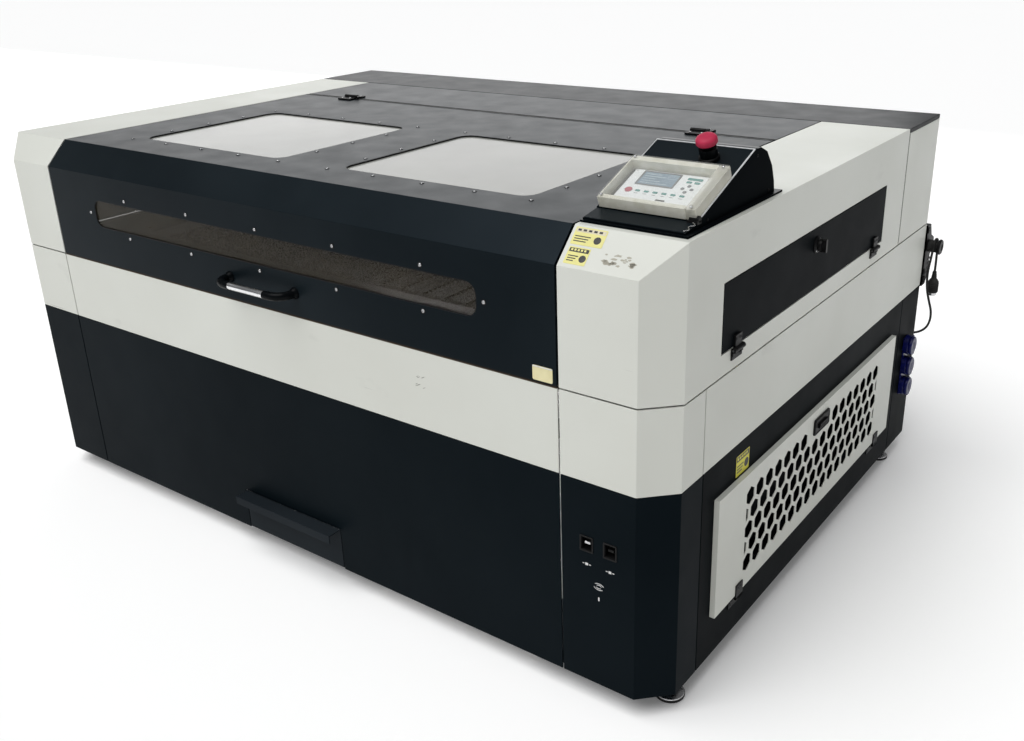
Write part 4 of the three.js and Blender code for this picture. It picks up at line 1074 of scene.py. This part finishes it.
def add_hook_details():
    """The cord hook: a thick moulded bracket with clamps along its edge, and a round peg with a knob."""
    low, high = extent("cord_hook")
    rear, edge, peg = low.y, 984, Vector((0, 1390, 578))
    arm = [(rear, low.z), (rear + 28, low.z), (rear + 44, low.z + 24), (rear + 44, peg.z - 26),
           (high.y - 3, peg.z - 17), (high.y, peg.z - 12), (high.y, peg.z + 12), (high.y - 4, peg.z + 17),
           (rear + 40, peg.z + 28), (rear + 26, high.z), (rear, high.z)]
    plate = block(low.x, edge, rear, rear + 3, low.z, high.z)
    body = side_prism(arm, edge - 12, edge)
    clamps = [placed(tile(-13, 13, -9, 9, 0, 7, 4), facing((955, rear + 3, z), Y)) for z in (500, 540, 620)]
    lugs = [placed(tile(-8, 8, -7, 7, 0, 2.6, 3), facing((edge, rear + 9, z), X)) for z in (492, 512, 624)]
    ribs = [side_prism([(rear + 30, z - 3), (rear + 47, z - 3), (rear + 49, z), (rear + 47, z + 3),
                        (rear + 30, z + 3)], edge - 14, edge + 1) for z in (505, 517, 529, 541)]
    shaft = lathe([(16, edge - 1), (16.6, edge + 2), (15.8, edge + 6), (15.8, high.x - 13),
                   (16.6, high.x - 8), (0, high.x - 8), (0, edge - 1)], 32)
    knob = lathe([(0, high.x - 7.4), (19, high.x - 7.4), (20, high.x - 6), (20, high.x - 2.4),
                  (18, high.x - 0.4), (9, high.x), (8, high.x - 1.6), (0, high.x - 1.6)], 36)
    screws = [dome_screw((955, rear + 10, z), Y, 3.4) for z in (500, 540, 620)]
    screws += [dome_screw((edge + 2.6, rear + 9, z), X, 2) for z in (492, 512, 624)]
    piece("hook_bracket", "root",
          [(joined(plate, body, *clamps, *lugs, *ribs), BLACK), (joined(*screws), DARK_STEEL)], 0.6,
          replaces=["cord_hook"])
    piece("hook_peg", "root", turned([(shaft, RUBBER), (knob, BLACK)], facing(peg, X)))


# ---- inside ----
LIFT_X, LIFT_ROWS = 680, (200, 920)
SLATS = 19
RAIL_TOP = 855     # the height that the laser head's plates are drawn from
TUBE_Z = 756


def add_bed():
    """A knife bed: a profile frame, cross arms with nuts for the lifting screws, and saw-edged slats."""
    low, high = extent("bed_table")
    half_x, front, rear, top, rim = 650, low.y, high.y, high.z, 40
    bars = [block(-half_x, half_x, front, front + rim, top - rim, top),
            block(-half_x, half_x, rear - rim, rear, top - rim, top),
            block(-half_x, -half_x + rim, front + rim, rear - rim, top - rim, top),
            block(half_x - rim, half_x, front + rim, rear - rim, top - rim, top)]
    arms = [block(low.x, high.x, y - 20, y + 20, top - rim + 0.4, top - rim + 13.6) for y in LIFT_ROWS]
    grooves = [block(-half_x + 12, half_x - 12, y, y + 0.6, top - 26, top - 16)
               for y in (front - 0.3, rear - 0.3)]
    piece("bed_frame", "bed",
          [(joined(*bars, *arms), ALUMINIUM), (joined(*grooves), BLACK)], 0.8, replaces=["bed_table"])
    slats = []
    pitch = (2 * (half_x - rim) + 8) / (SLATS + 1)
    start, end, tooth = front + rim, rear - rim, 14
    for i in range(1, SLATS + 1):
        x = -half_x + rim - 4 + i * pitch
        outline = [(end, top - 30), (start, top - 30), (start, top - 6)]
        y = start + tooth / 2
        while y < end - tooth / 2:
            outline += [(y, top - 0.6), (y + tooth / 2, top - 6)]
            y += tooth
        outline += [(end, top - 6)]
        slats.append(side_prism(outline, x - 1.2, x + 1.2))
    piece("bed_slats", "bed", [(joined(*slats), STEEL)])
    nut = lathe([(9.2, 0), (15, 0), (15, 5), (12, 6), (12, 17), (9.2, 17)], 24, closed=True)
    nuts = [moved(nut, x, y, top - rim + 13.7) for x in (-LIFT_X, LIFT_X) for y in LIFT_ROWS]
    piece("bed_nuts", "bed", [(joined(*nuts), BRASS)], 0.4)


def thread(height, radius, depth, lead, sides=14, step=1.25):
    """A bar with a helical thread, standing on the origin."""
    count = int(height / step)
    rings = []
    for k in range(count + 1):
        level = k * height / count
        ring = []
        for i in range(sides):
            phase = (level / lead - i / sides) % 1
            reach = radius - depth * min(1, max(0, 4 * abs(phase - 0.5) - 0.6))
            ring.append((reach * cos(2 * pi * i / sides), reach * sin(2 * pi * i / sides), level))
        rings.append(ring)
    return loft(rings)


def add_lift_screws():
    """Screws with a real helical thread, 10 mm a turn, and a toothed pulley at the foot."""
    teeth = loft([notched(18.6, height, 1.4, 96, 2) for height in (7, 21)])
    flanges = [lathe([(0, h), (20, h), (20, h + 1.2), (0, h + 1.2)], 32) for h in (6, 20.8)]
    for corner in CORNERS:
        node = f"lift_screw_{corner}"
        low, high = extent(node)
        layers = [(thread(high.z - low.z, 8, 1.5, 10), STEEL), (joined(teeth, *flanges), ALUMINIUM)]
        piece(f"thread_{corner}", node,
              shifted(layers, (low.x + high.x) / 2, (low.y + high.y) / 2, low.z), smooth=50, replaces=[node])


def add_lift_motor():
    """A stepper motor: a laminated black body between two cast end caps."""
    low, high = extent("lift_motor")
    shaft_top = high.z - low.z
    layers = [(prism(rounded(size, size, 5, 2), start, end), finish) for start, end, size, finish in
              ((0, 14, 56, ALUMINIUM), (14, 62, 54, BLACK), (62, 76, 56, ALUMINIUM))]
    lines = [border(54.6, 54.6, 5, 0.6, 18 + i * 8, 19 + i * 8, 2) for i in range(6)]
    boss = lathe([(0, 76), (19, 76), (19, 77.6), (0, 77.6)], 32)
    shaft = rod((0, 0, 76), (0, 0, shaft_top), 4, 18)
    screws = [hex_nut((dx, dy, 76), Z, 4, 3) for dx in (-21, 21) for dy in (-21, 21)]
    layers += [(joined(*lines), BLACK), (boss, ALUMINIUM), (joined(shaft, *screws), STEEL)]
    piece("stepper_motor", "root",
          shifted(layers, (low.x + high.x) / 2, (low.y + high.y) / 2, low.z), 0.5, replaces=["lift_motor"])


def add_gantry():
    """An extruded beam with slots, two wheeled carriages and the left mirror's mount."""
    low, high = extent("gantry_beam")
    end, mid = high.x, (low.y + high.y) / 2
    z0 = low.z + 3
    section = [(-25, 0), (-9, 0), (-9, 3), (-13, 3), (-13, 8), (13, 8), (13, 3), (9, 3), (9, 0), (25, 0),
               (25, 12), (22, 12), (22, 8.6), (17, 8.6), (17, 26.4), (22, 26.4), (22, 23), (25, 23),
               (25, 35), (9, 35), (9, 32), (13, 32), (13, 28.6), (-13, 28.6), (-13, 32), (-9, 32),
               (-9, 35), (-25, 35)]
    beam = side_prism([(mid + y, z0 + z) for y, z in section], -end + 4, end - 4)
    end_caps = [block(side * end - 4 * (side > 0), side * end + 4 * (side < 0), mid - 25, mid + 25, z0,
                      z0 + 35) for side in (-1, 1)]
    rail = block(-775, 775, mid - 6, mid + 6, z0 + 35, z0 + 40)
    piece("gantry_profile", "gantry",
          [(beam, ALUMINIUM), (joined(*end_caps), BLACK), (rail, STEEL)], 0.4, replaces=["gantry_beam"])
    for side, name in SIDES:
        x0, x1 = sorted((side * 792, side * end))
        base = moved(prism(rounded(x1 - x0, 120, 6), low.z, low.z + 12), (x0 + x1) / 2, mid)
        plate = block(x0 + 6, x1 - 6, mid - 30, mid - 25.4, low.z + 10, low.z + 40)
        wheels = [rod((side * (end - 12), mid + dy, low.z + 12), (side * (end - 12), mid + dy, low.z + 22),
                      11, 24, 2) for dy in (-42, 42)]
        bolts = [hex_nut((side * (end - 12), mid + dy, low.z + 22), Z, 6, 3) for dy in (-42, 42)]
        bolts += [hex_nut((side * 806, mid + dy, low.z + 12), Z, 5, 3) for dy in (-50, 50)]
        piece(f"carriage_{name}", "gantry",
              [(joined(base, plate), CHARCOAL), (joined(*wheels), BLACK), (joined(*bolts), STEEL)], 0.5)
    mirror_mount("gantry_mirror", "gantry", (-795, mid - 39, low.z + 40), (1, -1, 0))


def mirror_mount(name, body, centre, normal):
    """A round mirror in a square plate, with a back plate, three sprung screws and a foot."""
    square = rounded(36, 36, 4)
    plates = joined(prism(square, 0, 5), prism(square, -11, -7), block(-12, 12, -30, -16, -11, 5))
    ring = lathe([(11, 5), (14, 5), (14, 7.4), (11, 7.4)], 32, closed=True)
    glass = lathe([(0, 5), (11.2, 5), (11.2, 6), (0, 6)], 32)
    turn = facing(centre, normal)
    screws = [rod(turn @ Vector((x, y, start)), turn @ Vector((x, y, end)), radius, sides)
              for start, end, radius, sides in ((-15, 5.6, 2, 12), (-18, -12, 4, 16))
              for x, y in ((-13, -13), (13, -13), (-13, 13))]
    layers = turned([(plates, CHARCOAL), (ring, ALUMINIUM), (glass, GOLD)], turn)
    piece(name, body, [*layers, (joined(*screws), BRASS)], 0.4)


def add_head():
    """The laser head: a carriage plate, the third mirror's block, the lens tube and the nozzle."""
    low, high = extent("laser_head")
    x, y, rear = (low.x + high.x) / 2, high.y - 38, high.y
    plate = placed(prism(rounded(80, 97, 6), 0, 12), facing((x, rear, RAIL_TOP - 6.5), -Y))
    carriage = block(x - 34, x + 34, rear - 12, rear + 22, high.z - 3.6, high.z + 6)
    housing = [block(x - 26, x + 26, y - 24, rear - 12, RAIL_TOP - 30, RAIL_TOP + 30),
               placed(prism(rounded(44, 44, 4), 0, 4), facing((x, y - 24, RAIL_TOP), -Y))]
    bolts = [dome_screw((x + dx, y - 28, RAIL_TOP + dz), -Y, 2.6) for dx in (-17, 17) for dz in (-17, 17)]
    bolts += [dome_screw((x + dx, rear - 12, RAIL_TOP + dz), -Y, 3) for dx in (-34, 34) for dz in (-46, 32)]
    knobs = [rod((x + dx, y + dy, RAIL_TOP + 30), (x + dx, y + dy, RAIL_TOP + 38), 4.5, 18)
             for dx, dy in ((-16, -14), (16, -14), (-16, 12))]
    lens = [(17, low.z + 54), (18, low.z + 56)]
    height = low.z + 58
    while height < RAIL_TOP - 46:
        lens += [(18, height), (17.3, height + 1), (17.3, height + 2), (18, height + 3)]
        height += 6
    lens += [(18, RAIL_TOP - 40), (16, RAIL_TOP - 38), (16, RAIL_TOP - 30)]
    nozzle = [(0, low.z), (3, low.z), (3.4, low.z + 2), (12.6, low.z + 33), (15, low.z + 36),
              (15, low.z + 54), (0, low.z + 54)]
    move = Matrix.Translation((x, y, 0))
    air = pipe(curved([(x - 14, y, low.z + 44), (x - 24, y, low.z + 44), (x - 29, y, low.z + 49),
                       (x - 30, y, low.z + 58)], 5), 3, 12)
    ring = placed(lathe([(18.2, low.z + 96), (21, low.z + 96), (21, low.z + 104), (18.2, low.z + 104)], 40,
                        closed=True), move)
    thumb = rod((x + 20, y, low.z + 100), (x + 32, y, low.z + 100), 4, 16)
    piece("head_carriage", "laser_head",
          [(plate, CHARCOAL), (carriage, CHARCOAL), (joined(*housing), ALUMINIUM), (joined(*bolts), STEEL),
           (joined(*knobs), BRASS)], 0.6, replaces=["laser_head"])
    piece("head_lens_tube", "laser_head",
          [(placed(lathe(lens, 36), move), ALUMINIUM), (placed(lathe(nozzle, 32), move), BRASS),
           (joined(ring, thumb), CHARCOAL), (air, BLACK)], smooth=40)


def add_rails():
    """A ground steel guide along the inner face of each Y rail, with its row of bolts."""
    for side, name in SIDES:
        x0, x1 = sorted((side * 799.8, side * 791))
        guide = block(x0, x1, 72, 1100, 832, 848)
        bolts = [dome_screw((side * 791, y, 840), X * -side, 3.2) for y in range(100, 1090, 60)]
        piece(f"rail_guide_{name}", "root", [(guide, STEEL), (joined(*bolts), BLACK)], 0.5)


def add_tube():
    """The laser tube: a water jacket round a bore tube, with metal end caps and electrodes."""
    y, z = (TUBE[0].y + TUBE[1].y) / 2, TUBE_Z
    turn = facing((TUBE[0].x, y, z), X)
    length = TUBE[1].x - TUBE[0].x
    jacket = [(37, 30), (40, 33), (40, length - 33), (37, length - 30), (35.5, length - 33),
              (38, length - 36), (38, 36), (35.5, 33)]
    bore = [(6, 20), (10, 22), (10, length - 22), (6, length - 20)]
    water = [(24, 60), (26, 62), (26, length - 62), (24, length - 60), (22.5, length - 62),
             (24.5, length - 64), (24.5, 64), (22.5, 62)]
    coil = [(u, v, 70 + 5 * k) for k, (u, v) in enumerate(arc(31, 0, 5 * 360, 20))]
    glass = joined(lathe(jacket, 40, closed=True), lathe(water, 32, closed=True), lathe(bore, 24),
                   pipe(coil, 3, 8))
    piece("tube_glass", "root", turned([(glass, GLASS)], turn), replaces=["laser_tube"])
    ends = []
    for start, way in ((0, 1), (length, -1)):
        cap = [(0, start), (19, start), (19, start + way * 12), (30, start + way * 16),
               (37.4, start + way * 30), (37.4, start + way * 34), (0, start + way * 34)]
        ends.append(placed(lathe(cap, 36), turn))
        ends.append(rod((TUBE[0].x + start + way * 60, y, z), (TUBE[0].x + start + way * 110, y, z), 18, 28))
    nipples = [rod((side * 710, y, z + 39), (side * 710, y, z + 60), 5.5, 16) for side in (-1, 1)]
    boot = rod((TUBE[1].x - 24, y, z + 22), (TUBE[1].x - 24, y, z + 46), 9, 24, 2)
    piece("tube_ends", "root",
          [(joined(*ends), STEEL), (joined(*nipples), GLASS), (boot, RED)], 0.4)
    straps = []
    for side in (-1, 1):
        x = side * 540
        straps.append(loft([[(x + dx, y + u * r, z + v * r) for dx, r in
                             ((-14, 41.4), (-14, 45), (14, 45), (14, 41.4))]
                            for u, v in arc(1, 0, 181, 9)]))
        straps += [dome_screw((x, y + dy, z + 1), Z, 4) for dy in (-49, 43)]
    piece("tube_straps", "root", [(joined(*straps), BLACK)], 0.4)
    mirror_mount("first_mirror", "root", (-835, y, z), (1, -1, 0))
    post = joined(block(-850, -820, y - 15, y + 15, 640.4, 643), block(-838, -832, y - 6, y + 6, 643, 730))
    piece("first_mirror_post", "root", [(post, ALUMINIUM)], 0.5)


def add_lamp():
    """A lit strip under the bridge, above the back of the bed."""
    front = extent("top_bridge")[0].y
    channel = block(-600, 600, front + 20, front + 44, TOP - 15, TOP - 3.2)
    strip = block(-594, 594, front + 24, front + 40, TOP - 17, TOP - 15)
    piece("lamp_channel", "root", [(channel, ALUMINIUM), (strip, LAMP)], 0.4)


def add_electronics():
    """Vents, a fan, terminals and sockets on the two boxes in the right bay."""
    low, high = extent("power_supply")
    top, x = high.z, (low.x + high.x) / 2
    slots = [tile(low.x + 30 + i * 12, low.x + 35 + i * 12, low.y + 150, high.y - 30, top, top + 0.5, 2, 3)
             for i in range(13)]
    turn = Matrix.Translation((x, low.y + 70, top))
    fan = [placed(lathe([(r - 1, 2), (r + 1, 2), (r + 1, 4), (r - 1, 4)], 36, closed=True), turn)
           for r in (12, 24, 36, 47)]
    frame_plate = placed(border(106, 106, 6, 6, 0, 4), turn)
    blades = [placed(tile(6, 40, -5, 5, 0.4, 1.6, 4, 3), turn @ Matrix.Rotation(radians(a), 4, "Z"))
              for a in range(0, 360, 45)]
    terminals = [block(low.x + 24 + i * 16, low.x + 36 + i * 16, low.y - 12, low.y, low.z + 20, low.z + 34)
                 for i in range(10)]
    heads = [dome_screw((low.x + 30 + i * 16, low.y - 12, low.z + 27), -Y, 3.6) for i in range(10)]
    piece("supply_fittings", "root",
          [(joined(*slots), BLACK), (joined(*fan), STEEL), (frame_plate, BLACK), (joined(*blades), BLACK),
           (joined(*terminals), GREY_CASE), (joined(*heads), STEEL)], 0.3)
    low, high = extent("motion_controller")
    plugs = []
    for i in range(6):
        y = low.y + 20 + i * 42
        plugs.append(block(low.x - 9, low.x, y, y + 34, low.z + 12, low.z + 26))
    pins = [dome_screw((low.x - 9, low.y + 26 + i * 42 + k * 8, low.z + 19), -X, 2) for i in range(6)
            for k in range(4)]
    lid = tile(low.x + 8, high.x - 8, low.y + 8, high.y - 8, high.z, high.z + 1.2, 5)
    lamps = [moved(lathe([(0, 1), (3, 1), (2.6, 3), (0, 3.6)], 16), low.x + 30 + i * 14, low.y + 30, high.z)
             for i in range(5)]
    piece("controller_fittings", "root",
          [(joined(*plugs), TEAL), (joined(*pins), STEEL), (lid, CHARCOAL), (joined(*lamps), RED)], 0.3)


for build in (add_feet, add_seal_strip, add_windows, add_lid_hinges, add_handle, add_lid_tab,
              add_door_hinges, add_pass_knob, add_vent_latch, add_console_trim, add_keypad,
              add_clear_cover, add_estop, add_labels, add_ports, add_sockets, add_rear_details,
              add_hook_details, add_bed, add_lift_screws, add_lift_motor, add_gantry, add_head, add_rails,
              add_tube, add_lamp, add_electronics):
    build()


# ---- studio ----
def soft_light(name, spot, target, size, power):
    data = bpy.data.lights.new(name, "AREA")
    data.shape = "RECTANGLE"
    data.size, data.size_y = size
    data.energy = power
    light = bpy.data.objects.new(name, data)
    light.location = spot
    light.rotation_euler = (Vector(target) - Vector(spot)).to_track_quat("-Z", "Y").to_euler()
    bpy.context.scene.collection.objects.link(light)


def add_studio():
    floor = bpy.data.meshes.new("floor")
    far = 60
    floor.from_pydata([(-far, -far, 0), (far, -far, 0), (far, far, 0), (-far, far, 0)], [], [(0, 1, 2, 3)])
    made = bpy.data.objects.new("floor", floor)
    bpy.context.scene.collection.objects.link(made)
    floor.materials.append(FLOOR)
    world = bpy.data.worlds.new("studio")
    world.use_nodes = True
    background = world.node_tree.nodes["Background"]
    background.inputs["Color"].default_value = (0.97, 0.99, 1.0, 1)
    background.inputs["Strength"].default_value = 0.145
    bpy.context.scene.world = world
    bpy.context.scene.view_settings.view_transform = "Standard"
    data = bpy.data.lights.new("overhead", "SUN")
    data.energy = 2.7
    data.angle = radians(55)
    overhead = bpy.data.objects.new("overhead", data)
    overhead.rotation_euler = Vector((-0.14, -0.4, 0.9)).to_track_quat("Z", "Y").to_euler()
    bpy.context.scene.collection.objects.link(overhead)
    soft_light("back_wall", (-7.2, 5.5, 2.3), (-7.2, 0, 2.3), (13.4, 4.4), 262)


add_studio()
